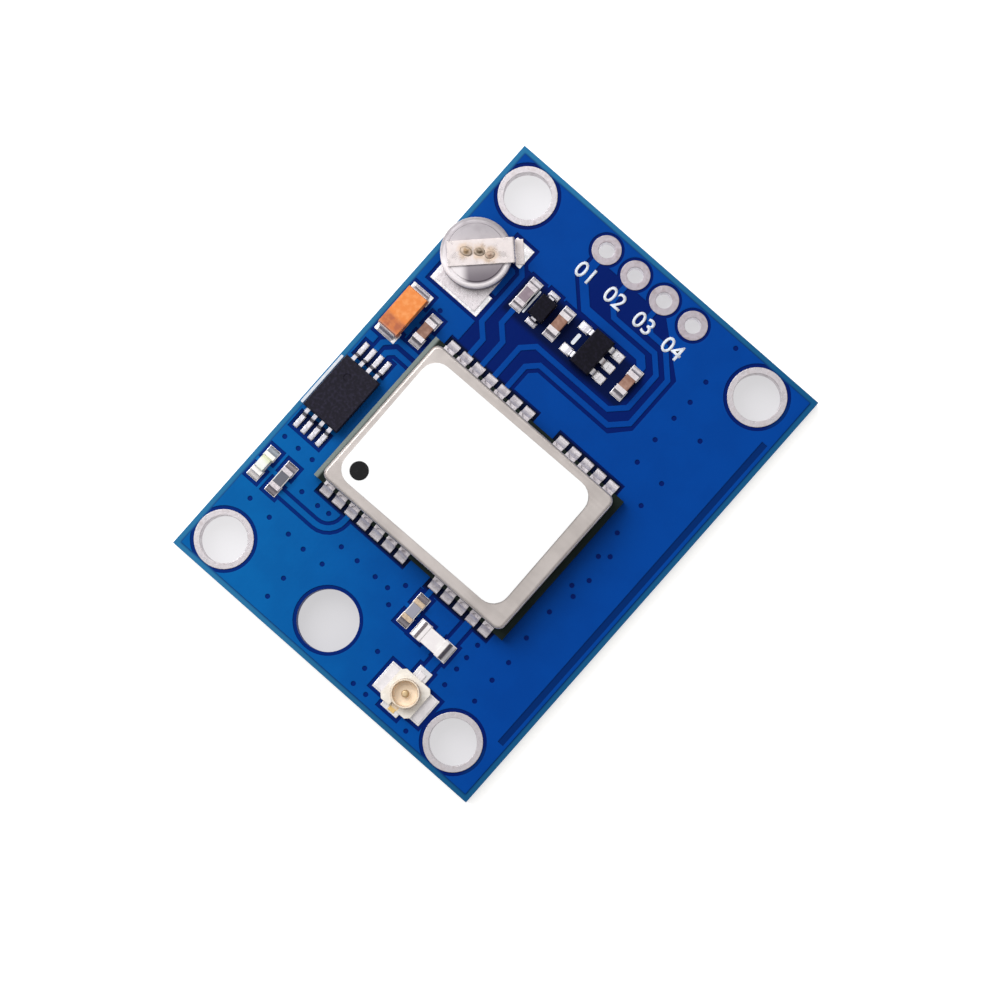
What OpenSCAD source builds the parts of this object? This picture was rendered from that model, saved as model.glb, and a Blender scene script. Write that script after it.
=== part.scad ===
// Satellite receiver module: a carrier board that holds a shielded receiver with castellated edges,
// its supply regulator, settings memory, backup cell, status lamp and coaxial antenna socket.
// Origin at the middle of the carrier board's underside, X across the board, Y towards the header, Z up.

/* [Carrier board] */
// Distance between the mounting holes along X
hole_pitch_x = 20.32; // [20.3:0.02:26]
// Distance between the mounting holes along Y
hole_pitch_y = 30.48; // [30.4:0.02:38]
// Clear diameter of a mounting hole
hole_d = 3.2; // [2.2:0.1:3.4]
// Width of the tinned ring around a mounting hole
ring_w = 0.4; // [0.2:0.05:0.5]
// From the left edge to the first column of mounting holes
margin_left = 2.39; // [2.3:0.01:4]
// From the last column of mounting holes to the right edge
margin_right = 3.29; // [2.3:0.01:8]
// From each short edge to the nearest row of mounting holes
margin_end = 2.41; // [2.3:0.01:4]
// Thickness of the laminate
board_t = 1.6; // [0.8:0.1:2.4]
// Diameter of the bare hole without a ring
bare_hole_d = 4.2; // [2:0.1:5]
// Place of the bare hole along X, from the first mounting hole
bare_hole_dx = 8.77; // [6:0.01:10]
// Place of the bare hole along Y, from the first mounting hole
bare_hole_dy = 0.55; // [0.2:0.01:2]
// Thickness of the copper under the solder mask
copper_t = 0.05; // [0.02:0.01:0.06]
// Thickness of a tinned land
land_t = 0.07; // [0.07:0.01:0.15]
// Wall of the plating in a drilled hole
plating_t = 0.04; // [0.02:0.01:0.08]
// Copper-free gap kept around lands, rings and tracks
copper_gap = 0.25; // [0.1:0.01:0.35]
// From the board's edges to the copper
copper_inset = 0.4; // [0.2:0.05:0.6]
// Width of a signal track
track_w = 0.38; // [0.2:0.02:0.45]
// Width of a supply track and of the antenna track
wide_track_w = 0.6; // [0.4:0.02:0.7]
// Diameter of a via's dimple in the mask
via_d = 0.34; // [0.2:0.02:0.5]

/* [Header holes] */
// Number of header holes
header_count = 4; // [3:1:5]
// Distance from one header hole to the next
header_pitch = 2.54; // [2:0.02:2.6]
// Clear diameter of a header hole
header_hole_d = 1.1; // [0.8:0.05:1.2]
// Wall of the tinned lining in a header hole
header_wall_t = 0.17; // [0.16:0.01:0.19]
// Width of the tinned ring around a header hole
header_ring_w = 0.45; // [0.2:0.05:0.5]
// From the upper mounting holes up to the header holes
header_rise = 0.76; // [0.4:0.02:1]

/* [Receiver] */
// Width of the receiver's own board, along X
receiver_w = 16.6; // [16:0.1:18]
// Length of the receiver's own board, along Y
receiver_l = 12.2; // [11.4:0.1:13]
// Thickness of the receiver's own board
receiver_t = 0.8; // [0.6:0.05:1.2]
// From the board's lower edge up to the receiver
receiver_rise = 9.6; // [9.4:0.05:10.4]
// From the left column of parts to the receiver
receiver_gap = 0.37; // [0.3:0.01:1]
// Distance from one castellated pad to the next
pad_pitch = 1.1; // [1:0.05:1.2]
// Distance across the gap in each row of pads
pad_break = 3; // [2:0.1:3.2]
// Pads on the left of the gap
pads_left = 7; // [5:1:7]
// Pads on the right of the gap
pads_right = 5; // [3:1:5]
// Width of a castellated pad
pad_w = 0.8; // [0.7:0.02:0.9]
// Diameter of the half hole in a castellated pad
pad_hole_d = 0.42; // [0.3:0.02:0.42]
// Length of a pad on top of the receiver's board
pad_top_l = 0.28; // [0.27:0.01:0.29]
// Length of a pad under the receiver's board
pad_under_l = 0.9; // [0.6:0.05:1.2]
// Length of a land beyond the receiver's edge
pad_reach = 0.6; // [0.4:0.02:0.7]
// Share of the receiver board's thickness that the solder climbs
solder_climb = 0.75; // [0.4:0.05:0.95]

/* [Shield can] */
// Height of the shield can
can_h = 1.6; // [1.3:0.05:2.2]
// Sheet thickness of the shield can
can_t = 0.15; // [0.12:0.01:0.17]
// From the receiver board's short edges to the can
can_inset_x = 0.45; // [0.2:0.01:0.8]
// From the receiver board's long edges to the can
can_inset_y = 0.3; // [0.3:0.01:0.6]
// Corner radius of the can, seen from above
can_corner_r = 0.55; // [0.35:0.05:1]
// Bend radius along the can's top edges
can_bend_r = 0.2; // [0.2:0.02:0.3]
// Height of the gaps between the can's feet
foot_gap = 0.22; // [0.1:0.02:0.4]
// Width of one foot of the can
foot_w = 0.9; // [0.6:0.05:1.4]
// Feet on a short side of the can
feet_short = 4; // [3:1:5]
// Feet on a long side of the can
feet_long = 5; // [3:1:6]
// Thickness of the label
label_t = 0.08; // [0.05:0.01:0.15]
// Corner radius of the label
label_r = 1.2; // [0.5:0.05:2]
// From the can's left side to the label
label_left = 0.5; // [0.45:0.05:1]
// From the can's right side to the label
label_right = 1.15; // [0.45:0.05:2]
// From the can's lower side to the label
label_low = 0.8; // [0.45:0.05:1.5]
// From the can's upper side to the label
label_high = 0.7; // [0.45:0.05:1.5]
// How far the label is turned, in degrees
label_turn = 0.6; // [0:0.1:1.4]
// Diameter of the dot that marks the first pad
dot_d = 1.28; // [0.6:0.02:1.6]
// From the label's left edge to the middle of the dot
dot_left = 1.24; // [0.9:0.02:2]
// From the label's lower edge to the middle of the dot
dot_low = 1.12; // [0.9:0.01:2]
// Thickness of the printed dot
dot_t = 0.02; // [0.01:0.01:0.04]

/* [Under the can] */
// Side of the receiver chip
chip_side = 6; // [5:0.1:7]
// Height of the receiver chip
chip_h = 0.85; // [0.6:0.05:1]
// Width of the clock oscillator
clock_w = 2; // [1.6:0.1:2.5]
// Length of the clock oscillator
clock_l = 2.5; // [2:0.1:3.2]
// Height of the clock oscillator
clock_h = 0.8; // [0.6:0.05:1]
// Width of the band filter
filter_w = 1.1; // [0.9:0.05:1.4]
// Length of the band filter
filter_l = 1.4; // [1.1:0.05:2]
// Height of the band filter
filter_h = 0.6; // [0.4:0.05:0.8]

/* [Backup cell] */
// Diameter of the cell
cell_d = 4.8; // [4.6:0.1:5]
// Height of the cell
cell_h = 1.4; // [1.2:0.1:2]
// From the board's left edge to the cell
cell_edge = 0.05; // [0.02:0.01:0.5]
// Rim radius of the cell
cell_rim_r = 0.3; // [0.15:0.05:0.5]
// Thickness of the cell's welded straps
strap_t = 0.12; // [0.1:0.01:0.2]
// Width of the strap across the top of the cell
strap_w = 1.7; // [1.2:0.1:2]
// Width of the strap under the cell
base_strap_w = 3.4; // [2:0.1:3.8]
// From the tantalum capacitor's land up to the cell's lower land
cell_gap = 0.9; // [0.5:0.05:1]
// Width of the cell's lower land
cell_land_w = 4.05; // [3.8:0.05:4.3]
// Length of the cell's lower land
cell_land_l = 1.65; // [1.2:0.05:1.8]
// Side of the cell's upper land
cell_tab_land = 1.5; // [1.3:0.05:1.6]

/* [Chip parts] */
// Length of a small chip part
small_l = 1.6; // [1.5:0.05:1.7]
// Width of a small chip part
small_w = 0.8; // [0.7:0.05:0.85]
// Height of a small capacitor
capacitor_h = 0.8; // [0.5:0.05:0.9]
// Height of a small resistor
resistor_h = 0.45; // [0.35:0.05:0.6]
// Length of a metal end on a small chip part
small_band = 0.35; // [0.25:0.05:0.5]
// Length of the chip inductor
inductor_l = 2; // [1.9:0.05:2.1]
// Width of the chip inductor
inductor_w = 1.25; // [1.1:0.05:1.3]
// Height of the chip inductor
inductor_h = 0.95; // [0.7:0.05:1.1]
// Thickness of a chip part's metal ends
band_t = 0.03; // [0.02:0.01:0.05]
// Width of the land of a small chip part
small_land_w = 0.9; // [0.85:0.05:0.95]
// Length of a land under a chip part's end
land_under = 0.4; // [0.35:0.05:0.5]
// Length of a land beyond a chip part's end
land_over = 0.45; // [0.35:0.05:0.5]
// Height of the lamp's white base
lamp_base_h = 0.35; // [0.25:0.05:0.5]
// Height of the lamp's clear lens
lamp_lens_h = 0.4; // [0.2:0.05:0.5]
// Length of the lamp's clear lens
lamp_lens_l = 1; // [0.9:0.05:1.1]

/* [Tantalum capacitor] */
// Length of the tantalum capacitor's body
tantalum_l = 3.2; // [3:0.1:3.4]
// Width of the tantalum capacitor's body
tantalum_w = 1.7; // [1.5:0.05:1.9]
// Height of the tantalum capacitor's body
tantalum_h = 1.6; // [1.2:0.1:1.9]
// Thickness of its terminal strip
terminal_t = 0.12; // [0.1:0.01:0.15]
// Width of its terminal strip
terminal_w = 1.2; // [1:0.05:1.3]
// From the board's left edge to the tantalum capacitor
tantalum_edge = 0.53; // [0.4:0.01:1]
// From the memory's lands up to the tantalum capacitor's land
tantalum_gap = 1.06; // [0.5:0.02:1.4]

/* [Leaded parts] */
// Thickness of a formed lead
lead_t = 0.15; // [0.1:0.01:0.18]
// Gap between a moulded body and its lands
standoff = 0.06; // [0.03:0.01:0.15]
// Draft of a moulded body, taken off each side at its top and bottom
draft = 0.07; // [0.03:0.01:0.1]
// Length of a memory body along its leads
memory_l = 4.4; // [4.2:0.1:4.6]
// Width of the memory body
memory_w = 3; // [2.8:0.05:3.1]
// Height of the memory body
memory_h = 1; // [0.8:0.05:1.2]
// Distance over the memory's feet
memory_span = 6.4; // [6.2:0.1:6.6]
// Distance from one memory lead to the next
memory_pitch = 0.65; // [0.6:0.01:0.68]
// Width of a memory lead
memory_lead_w = 0.28; // [0.2:0.01:0.32]
// From the board's left edge to the memory
memory_edge = 0.42; // [0.3:0.01:0.6]
// From the lamp's lands up to the memory's lands
memory_gap = 1.95; // [1.5:0.05:2.2]
// Length of the regulator body along its row of leads
regulator_l = 2.9; // [2.8:0.05:3]
// Width of the regulator body
regulator_w = 1.6; // [1.5:0.05:1.7]
// Height of the regulator body
regulator_h = 1.1; // [0.8:0.05:1.3]
// Distance over the regulator's feet
regulator_span = 2.8; // [2.7:0.05:2.9]
// Distance from one regulator lead to the next
regulator_pitch = 0.95; // [0.9:0.01:1]
// Width of a regulator lead
regulator_lead_w = 0.42; // [0.3:0.01:0.5]
// Length of the diode body
diode_l = 1.7; // [1.6:0.05:1.8]
// Width of the diode body
diode_w = 1.25; // [1.15:0.05:1.3]
// Height of the diode body
diode_h = 0.95; // [0.7:0.05:1.1]
// Distance over the diode's feet
diode_span = 2.5; // [2.4:0.05:2.6]
// Width of a diode lead
diode_lead_w = 0.4; // [0.25:0.01:0.6]

/* [Antenna socket] */
// Side of the socket's moulded base
socket_side = 2.6; // [2.5:0.05:2.7]
// Height of the socket's moulded base
socket_base_h = 0.45; // [0.35:0.05:0.6]
// Outer diameter of the socket's ring
socket_ring_d = 2; // [1.8:0.05:2.1]
// Wall of the socket's ring
socket_ring_t = 0.17; // [0.16:0.01:0.2]
// Height of the whole socket
socket_h = 1.25; // [1.1:0.05:1.5]
// Depth of the snap groove around the ring
socket_groove = 0.05; // [0.03:0.01:0.06]
// Diameter of the centre pin
socket_pin_d = 0.5; // [0.35:0.05:0.6]
// Thickness of the socket's flat tails
tail_t = 0.12; // [0.08:0.01:0.15]
// Place of the socket along X, from the right column of mounting holes
socket_dx = 4.46; // [4.4:0.01:5]
// Place of the socket along Y, from the lower row of mounting holes
socket_dy = 0.34; // [0.2:0.01:1]

/* [Layout] */
// From the lower ring up to the lamp's lands
lamp_gap = 2.28; // [2:0.05:3]
// From the board's left edge to the lamp
lamp_edge = 0.63; // [0.4:0.01:0.8]
// Gap between parts that stand side by side on the left
side_gap = 0.79; // [0.6:0.01:0.85]
// From the tantalum capacitor to the capacitor beside it
beside_gap = 0.65; // [0.4:0.01:0.7]
// From the header holes down to the row of supply parts
row_drop = 5.78; // [5.6:0.02:6.4]
// From the cell to the first resistor of the row
row_start = 1.25; // [1:0.05:1.4]
// Gap between neighbouring parts of the row
row_gap = 0.44; // [0.3:0.02:0.5]
// Gap on the left of the regulator's lands
regulator_gap = 0.66; // [0.5:0.02:0.8]
// Gap on the right of the regulator's lands
row_end_gap = 0.82; // [0.5:0.02:0.9]
// From the receiver down to the bias resistor's lands
bias_drop = 1.15; // [1:0.05:1.3]
// From the bias resistor to the chip inductor's land
inductor_gap = 0.34; // [0.3:0.02:0.5]
// From the bias resistor's middle down to the chip inductor's middle
inductor_drop = 0.63; // [0.5:0.01:0.9]

/* [Hidden] */
$fn = 40;
EPS = 0.01;

// Board outline and levels
board_w = margin_left + hole_pitch_x + margin_right;
board_l = hole_pitch_y + 2 * margin_end;
left_edge = -board_w / 2;
low_edge = -board_l / 2;
land_z = board_t + land_t;

// Drilled holes
hole_x = [left_edge + margin_left, left_edge + margin_left + hole_pitch_x];
hole_y = [low_edge + margin_end, low_edge + margin_end + hole_pitch_y];
hole_places = [for (x = hole_x, y = hole_y) [x, y]];
ring_d = hole_d + 2 * ring_w;
bare_hole = [hole_x[0] + bare_hole_dx, hole_y[0] + bare_hole_dy];
header_y = hole_y[1] + header_rise;
header_x0 = (hole_x[0] + hole_x[1]) / 2 - header_pitch * (header_count - 1) / 2;
header_places = [for (i = [0:header_count - 1]) [header_x0 + i * header_pitch, header_y]];
header_ring_d = header_hole_d + 2 * header_ring_w;

// Left column, built up from the lower mounting hole
small_half_land = small_l / 2 + land_over;
lamp = [left_edge + lamp_edge + small_w / 2, hole_y[0] + ring_d / 2 + lamp_gap + small_half_land];
lamp_resistor = [lamp[0] + small_w + side_gap, lamp[1]];
memory_land_over = 0.48;
memory_half_land = memory_span / 2 + memory_land_over;
memory = [
    left_edge + memory_edge + memory_w / 2,
    lamp[1] + small_half_land + memory_gap + memory_half_land
];
tantalum_half_land = tantalum_l / 2 + land_over;
tantalum = [
    left_edge + tantalum_edge + tantalum_w / 2,
    memory[1] + memory_half_land + tantalum_gap + tantalum_half_land
];
side_capacitor = [tantalum[0] + tantalum_w / 2 + beside_gap + small_w / 2, tantalum[1]];
cell_land = [
    left_edge + cell_edge + cell_d / 2 + 0.68,
    tantalum[1] + tantalum_half_land + cell_gap + cell_land_l / 2
];
cell_overlap = 0.9;
cell = [left_edge + cell_edge + cell_d / 2, cell_land[1] + cell_land_l / 2 - cell_overlap + cell_d / 2];
cell_z = land_z + strap_t;
cell_top_z = cell_z + cell_h;

// Row of supply parts below the header
row_y = header_y - row_drop;
row_resistor = [cell[0] + cell_d / 2 + row_start + small_w / 2 + 0.2, row_y];
diode = [row_resistor[0] + small_w / 2 + row_gap + diode_w / 2, row_y];
row_capacitor = [diode[0] + diode_w / 2 + row_gap + small_w / 2, row_y];
regulator_half_land = regulator_span / 2 + land_over;
regulator = [row_capacitor[0] + small_w / 2 + regulator_gap + regulator_half_land, row_y];
end_capacitor = [regulator[0] + regulator_half_land + row_end_gap + small_w / 2, row_y];

// Receiver, its pads and its can
column_right = max(
    side_capacitor[0] + small_land_w / 2,
    memory[0] + memory_w / 2,
    lamp_resistor[0] + small_land_w / 2
);
receiver = [column_right + receiver_gap + receiver_w / 2, low_edge + receiver_rise + receiver_l / 2];
receiver_z = land_z + plating_t;
receiver_top = receiver_z + receiver_t;
pad_row_l = (pads_left + pads_right - 2) * pad_pitch + pad_break;
function pad_x(i) = receiver[0] - pad_row_l / 2 + (i < pads_left ? i : i - 1) * pad_pitch
    + (i < pads_left ? 0 : pad_break);
pad_xs = [for (i = [0:pads_left + pads_right - 1]) pad_x(i)];
can_w = receiver_w - 2 * can_inset_x;
can_l = receiver_l - 2 * can_inset_y;
can_top = receiver_top + can_h;
label_w = can_w - label_left - label_right;
label_l = can_l - label_low - label_high;
label = [receiver[0] + (label_left - label_right) / 2, receiver[1] + (label_low - label_high) / 2];
dot_in_label = [-label_w / 2 + dot_left, -label_l / 2 + dot_low];

// Antenna feed below the receiver
antenna_x = pad_xs[len(pad_xs) - 2];
bias_x = pad_xs[pads_left];
bias = [bias_x, receiver[1] - receiver_l / 2 - bias_drop - small_half_land];
inductor_over = 0.52;
inductor_half_land = inductor_l / 2 + inductor_over;
inductor = [bias[0] + small_land_w / 2 + inductor_gap + inductor_half_land, bias[1] - inductor_drop];
socket = [hole_x[1] - socket_dx, hole_y[0] + socket_dy];

capacitors = [side_capacitor, row_capacitor, end_capacitor];
resistors = [lamp_resistor, row_resistor, bias];

// Lands, each as its middle and its size
function end_lands(p, l, w, over) = [
    for (s = [-1, 1]) [p[0], p[1] + s * (l + over - land_under) / 2, w, land_under + over]
];
small_lands = [
    for (p = concat(capacitors, resistors, [lamp])) each end_lands(p, small_l, small_land_w, land_over)
];
tantalum_lands = end_lands(tantalum, tantalum_l, tantalum_w, land_over);
inductor_lands = [
    for (s = [-1, 1])
        [inductor[0] + s * (inductor_l + inductor_over - land_under) / 2, inductor[1],
        land_under + inductor_over, inductor_w + 0.1]
];
memory_foot = 0.5;
memory_lands = [
    for (s = [-1, 1], i = [0:3])
        [memory[0] + (i - 1.5) * memory_pitch,
        memory[1] + s * (memory_half_land - (memory_foot + memory_land_over) / 2),
        memory_lead_w + 0.08, memory_foot + memory_land_over]
];
regulator_foot = 0.36;
regulator_sides = [[-1, 1], [-1, -1], [1, 1], [1, 0], [1, -1]];
regulator_lands = [
    for (q = regulator_sides)
        [regulator[0] + q[0] * (regulator_half_land - (regulator_foot + land_over) / 2),
        regulator[1] + q[1] * regulator_pitch,
        regulator_foot + land_over, regulator_lead_w + 0.2]
];
diode_foot = 0.3;
diode_land_over = 0.12;
diode_lands = [
    for (s = [-1, 1])
        [diode[0], diode[1] + s * (diode_span + diode_land_over - diode_foot) / 2,
        diode_lead_w + 0.4, diode_foot + diode_land_over]
];
pad_lands = [
    for (s = [-1, 1], x = pad_xs)
        [x, receiver[1] + s * (receiver_l + pad_reach - pad_under_l) / 2, pad_w, pad_under_l + pad_reach]
];
tab_reach = cell_d / 2 + 0.75;
cell_tab = [cell[0] + tab_reach * cos(45), cell[1] + tab_reach * sin(45)];
cell_lands = [
    [cell_land[0], cell_land[1], cell_land_w, cell_land_l],
    [cell_tab[0] - 0.2, cell_tab[1] - 0.3, cell_tab_land, cell_tab_land]
];
socket_tail_reach = 0.65;
socket_tab_w = 1.9;
socket_lands = [
    for (s = [-1, 1])
        [socket[0] + s * (socket_side + socket_tail_reach) / 2, socket[1],
        socket_tail_reach + 0.2, socket_tab_w + 0.25],
    [socket[0], socket[1] + socket_side / 2 + 0.4, 1.05, 0.8],
    [socket[0] - 0.1, socket[1] - socket_side / 2 - 0.15, 1.4, 0.4]
];
lands = concat(
    small_lands, tantalum_lands, inductor_lands, memory_lands, regulator_lands,
    diode_lands, pad_lands, cell_lands, socket_lands
);

// Outlines that follow a path
function unit(v) = v / norm(v);
function left_of(v) = [-v[1], v[0]];
function heading(p, i) = unit(p[i + 1] - p[i]);
function side_step(p, i) =
    let (last = len(p) - 1)
    i == 0 ? left_of(heading(p, 0)) :
    i == last ? left_of(heading(p, last - 1)) :
    let (a = left_of(heading(p, i - 1)), b = left_of(heading(p, i)))
    (a + b) / (1 + a * b);
function thick_line(p, w) = concat(
    [for (i = [0:len(p) - 1]) p[i] + side_step(p, i) * w / 2],
    [for (i = [len(p) - 1:-1:0]) p[i] - side_step(p, i) * w / 2]
);
// A corner of a path, turned into an arc of radius r in the given number of steps
function round_corner(p, i, r, steps) =
    let (
        a = heading(p, i - 1),
        b = heading(p, i),
        bend = acos(min(1, max(-1, a * b))),
        turn = sign(a[0] * b[1] - a[1] * b[0]),
        start = p[i] - a * r * tan(bend / 2),
        middle = start + turn * left_of(a) * r
    )
    bend < 1 ? [p[i]] : [
        for (k = [0:steps])
            let (t = turn * bend * k / steps, v = start - middle)
            middle + [v[0] * cos(t) - v[1] * sin(t), v[0] * sin(t) + v[1] * cos(t)]
    ];
function round_path(p, r, steps) = concat(
    [p[0]],
    [for (i = [1:len(p) - 2]) each round_corner(p, i, r, steps)],
    [p[len(p) - 1]]
);
function round_rectangle(w, l, r) = [
    for (q = [0:3], k = [0:6])
        let (
            side = [[1, 1], [-1, 1], [-1, -1], [1, -1]][q],
            a = q * 90 + k * 15
        )
        [side[0] * (w / 2 - r) + r * cos(a), side[1] * (l / 2 - r) + r * sin(a)]
];

// Tracks: each has its width and the points along its middle
pad_low_y = receiver[1] - receiver_l / 2;
pad_high_y = receiver[1] + receiver_l / 2;
chip_high = row_y + small_l / 2;
chip_low = row_y - small_l / 2;
track_step = 0.8;
loop_right = end_capacitor[0] + 1.12;
loop_low = row_y - 2.12;
loop_high = row_y + 2.72;
feed_y = row_y + 1.9;
tracks = [
    [track_w, [
        header_places[1],
        [header_places[1][0], loop_high + track_step],
        [header_places[1][0] + track_step, loop_high],
        [loop_right - 1.05, loop_high],
        [loop_right, loop_high - 1.05],
        [loop_right, loop_low + 0.95],
        [loop_right - 0.95, loop_low],
        [pad_xs[3] + track_step, loop_low],
        [pad_xs[3], loop_low - track_step],
        [pad_xs[3], pad_high_y]
    ]],
    [track_w, [
        header_places[2],
        [header_places[2][0], loop_high + 2 * track_step],
        [header_places[2][0] + track_step, loop_high + track_step],
        [loop_right - 0.8, loop_high + track_step],
        [loop_right + track_step, loop_high - track_step],
        [loop_right + track_step, loop_low + 0.25],
        [loop_right - 0.25, loop_low - track_step],
        [pad_xs[4] + 0.7, loop_low - track_step],
        [pad_xs[4], loop_low - track_step - 0.7],
        [pad_xs[4], pad_high_y]
    ]],
    [wide_track_w, [
        header_places[0],
        [header_places[0][0], feed_y + 1.55],
        [header_places[0][0] + 1.55, feed_y],
        [end_capacitor[0] - 0.45, feed_y],
        [end_capacitor[0], feed_y - 0.45],
        [end_capacitor[0], chip_high]
    ]],
    [track_w, [
        [row_resistor[0], chip_low],
        [row_resistor[0], loop_low - 0.35],
        [pad_xs[2], loop_low - 0.35 - (pad_xs[2] - row_resistor[0])],
        [pad_xs[2], pad_high_y]
    ]],
    [track_w, [
        [cell_tab[0], cell_tab[1] - 0.3],
        [pad_xs[1] - 0.85, cell_tab[1] - 1.3],
        [pad_xs[1] - 0.85, loop_low - 1.15],
        [pad_xs[1], loop_low - 2],
        [pad_xs[1], pad_high_y]
    ]],
    [track_w, concat(
        [[lamp_resistor[0], lamp_resistor[1] - 0.74]],
        round_corner([
            [lamp_resistor[0], lamp_resistor[1] - 0.74],
            [pad_xs[2], lamp_resistor[1] - 0.74],
            [pad_xs[2], pad_low_y]
        ], 1, 1.4, 6),
        [[pad_xs[2], pad_low_y]]
    )],
    [wide_track_w, [[antenna_x, pad_low_y], [antenna_x, socket[1] + socket_side / 2 + 0.4]]],
    [track_w, [[bias_x, pad_low_y], [bias_x, bias[1] + small_l / 2]]],
    [track_w, [
        [memory[0] + memory_pitch / 2, memory[1] + memory_span / 2],
        [memory[0] + memory_pitch / 2, memory[1] + memory_span / 2 + 0.8],
        [memory[0] + memory_pitch / 2 + 0.45, memory[1] + memory_span / 2 + 1.25],
        [receiver[0] - receiver_w / 2 + 0.5, memory[1] + memory_span / 2 + 1.25]
    ]],
    [track_w, [
        [memory[0] - memory_pitch / 2, memory[1] + memory_span / 2],
        [memory[0] - memory_pitch / 2, memory[1] + memory_span / 2 + 1.15],
        [memory[0] - memory_pitch / 2 + 0.8, memory[1] + memory_span / 2 + 1.95],
        [receiver[0] - receiver_w / 2 + 0.5, memory[1] + memory_span / 2 + 1.95]
    ]]
];
// Field without copper around the supply parts and the header tracks
bare_field = [
    [pad_xs[1] - 1.2, pad_high_y + pad_reach],
    [pad_xs[1] - 1.2, chip_high + 0.55],
    [row_capacitor[0] + 0.4, chip_high + 0.55],
    [header_places[0][0] + 0.5, loop_high + 0.7],
    [header_places[0][0] + 0.5, header_y - 0.8],
    [header_places[2][0] + 0.9, header_y - 0.8],
    [loop_right + track_step + 0.45, loop_high - 0.45],
    [loop_right + track_step + 0.45, loop_low],
    [loop_right + 0.1, loop_low - track_step - 0.45],
    [pad_xs[4] + 0.9, loop_low - track_step - 0.45],
    [pad_xs[4] + 0.45, loop_low - track_step - 0.9],
    [pad_xs[4] + 0.45, pad_high_y + pad_reach]
];
// Vias over the copper, from the board's lower left corner
vias = [
    [0.9, 10.2], [2.1, 10.2], [3.3, 10.25], [4.2, 8.2], [5.6, 8.2], [6.5, 8.3], [1.9, 5.6], [3.7, 5.5],
    [5.4, 5.5], [6.8, 5.4], [8.4, 5.5], [8.6, 7.2], [10, 7.2], [11.6, 7.2], [12.7, 7.2], [13.5, 8.1],
    [13.5, 6.4], [7.1, 3.1], [7.1, 1.5], [15, 3.6], [15.1, 2.2], [15.2, 0.95], [16.3, 0.95], [19.9, 0.9],
    [19.7, 8.3], [19.7, 7.2], [19.7, 6.2], [19.8, 4.9], [22, 5.4], [21.95, 7.2], [22, 8.8], [21.8, 10.8],
    [21.8, 13.1], [22.3, 14.9], [21.75, 15.4], [22.4, 16.4], [21.8, 18], [22.4, 18.5], [21.7, 20],
    [21.7, 22.4], [21.75, 24.4], [19.6, 24.4], [19.5, 26.3], [19.5, 28.2], [21.8, 28.2], [19.6, 29.7],
    [19.5, 31.4], [19.5, 34.4], [3.1, 23.3]
];

// A tinned hole: barrel through the board, a ring on top and a flush ring underneath
module tinned_hole(hole, ring, wall) {
    rotate_extrude()
        polygon([
            [hole / 2, 0], [ring / 2, 0], [ring / 2, land_t], [hole / 2 + wall, land_t],
            [hole / 2 + wall, board_t], [ring / 2, board_t], [ring / 2, land_z], [hole / 2, land_z]
        ]);
}

// The room that a tinned hole takes out of the board
module tinned_hole_room(hole, ring, wall) {
    translate([0, 0, -1])
        cylinder(d = hole + 2 * wall, h = board_t + 2);
    translate([0, 0, -1])
        cylinder(d = ring, h = 1 + land_t);
}

// A block whose four sides lean in above and below its parting plane
module drafted_block(w, l, h, lean) {
    function section(s) = [
        [-s / 2 + lean, 0], [s / 2 - lean, 0], [s / 2, h / 2],
        [s / 2 - lean, h], [-s / 2 + lean, h], [-s / 2, h / 2]
    ];
    intersection() {
        translate([0, l / 2, 0])
            rotate([90, 0, 0])
                linear_extrude(l)
                    polygon(section(w));
        translate([-w / 2, 0, 0])
            rotate([90, 0, 90])
                linear_extrude(w)
                    polygon(section(l));
    }
}

// A lead that leaves a body along +X, bends down and ends in a flat foot
module formed_lead(body_half, span_half, exit_z, foot, w) {
    root = body_half - 0.25;
    shoulder = body_half + max(lead_t, 0.6 * (span_half - foot - body_half));
    path = [[root, exit_z], [shoulder, exit_z], [span_half - foot, lead_t / 2], [span_half, lead_t / 2]];
    translate([0, w / 2, 0])
        rotate([90, 0, 0])
            linear_extrude(w)
                polygon(thick_line(round_path(path, lead_t * 0.7, 4), lead_t));
}

// Solder that climbs a vertical end face, from the end along +Y
module solder_fillet(w, run, rise) {
    steps = 6;
    rotate([90, 0, 90])
        translate([0, 0, -w / 2])
            linear_extrude(w)
                polygon(concat([[0, 0]], [
                    for (k = [0:steps])
                        [run * (1 - sin(90 * k / steps)), rise * (1 - cos(90 * k / steps))]
                ]));
}

// The ceramic of a chip part, inside its metal ends
module chip_core(w, l, h) {
    translate([-w / 2 + band_t, -l / 2 + band_t, band_t])
        cube([w - 2 * band_t, l - 2 * band_t, h - 2 * band_t]);
}

// The two metal ends of a chip part, each a cap over five faces
module chip_ends(w, l, h, band) {
    for (s = [0, 1])
        mirror([0, s, 0])
            difference() {
                translate([-w / 2, l / 2 - band, 0])
                    cube([w, band, h]);
                chip_core(w, l, h);
            }
}

// The two metal ends of a flat part, each wrapped over its top, end and underside
module wrapped_ends(w, l, h, band) {
    for (s = [0, 1])
        mirror([0, s, 0])
            difference() {
                translate([-w / 2, l / 2 - band, 0])
                    cube([w, band, h]);
                translate([-w / 2 - 1, 0, band_t])
                    cube([w + 2, l / 2 - band_t, h - 2 * band_t]);
            }
}

// A box with round corners and bent top edges, standing on z = 0
module bent_box(w, l, h, corner, bend) {
    post = concat(
        [[0, 0], [corner, 0]],
        [for (k = [0:4]) [corner - bend * (1 - cos(k * 22.5)), h - bend * (1 - sin(k * 22.5))]],
        [[0, h]]
    );
    hull()
        for (x = [-1, 1], y = [-1, 1])
            translate([x * (w / 2 - corner), y * (l / 2 - corner), 0])
                rotate_extrude($fn = 32)
                    polygon(post);
}

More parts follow.
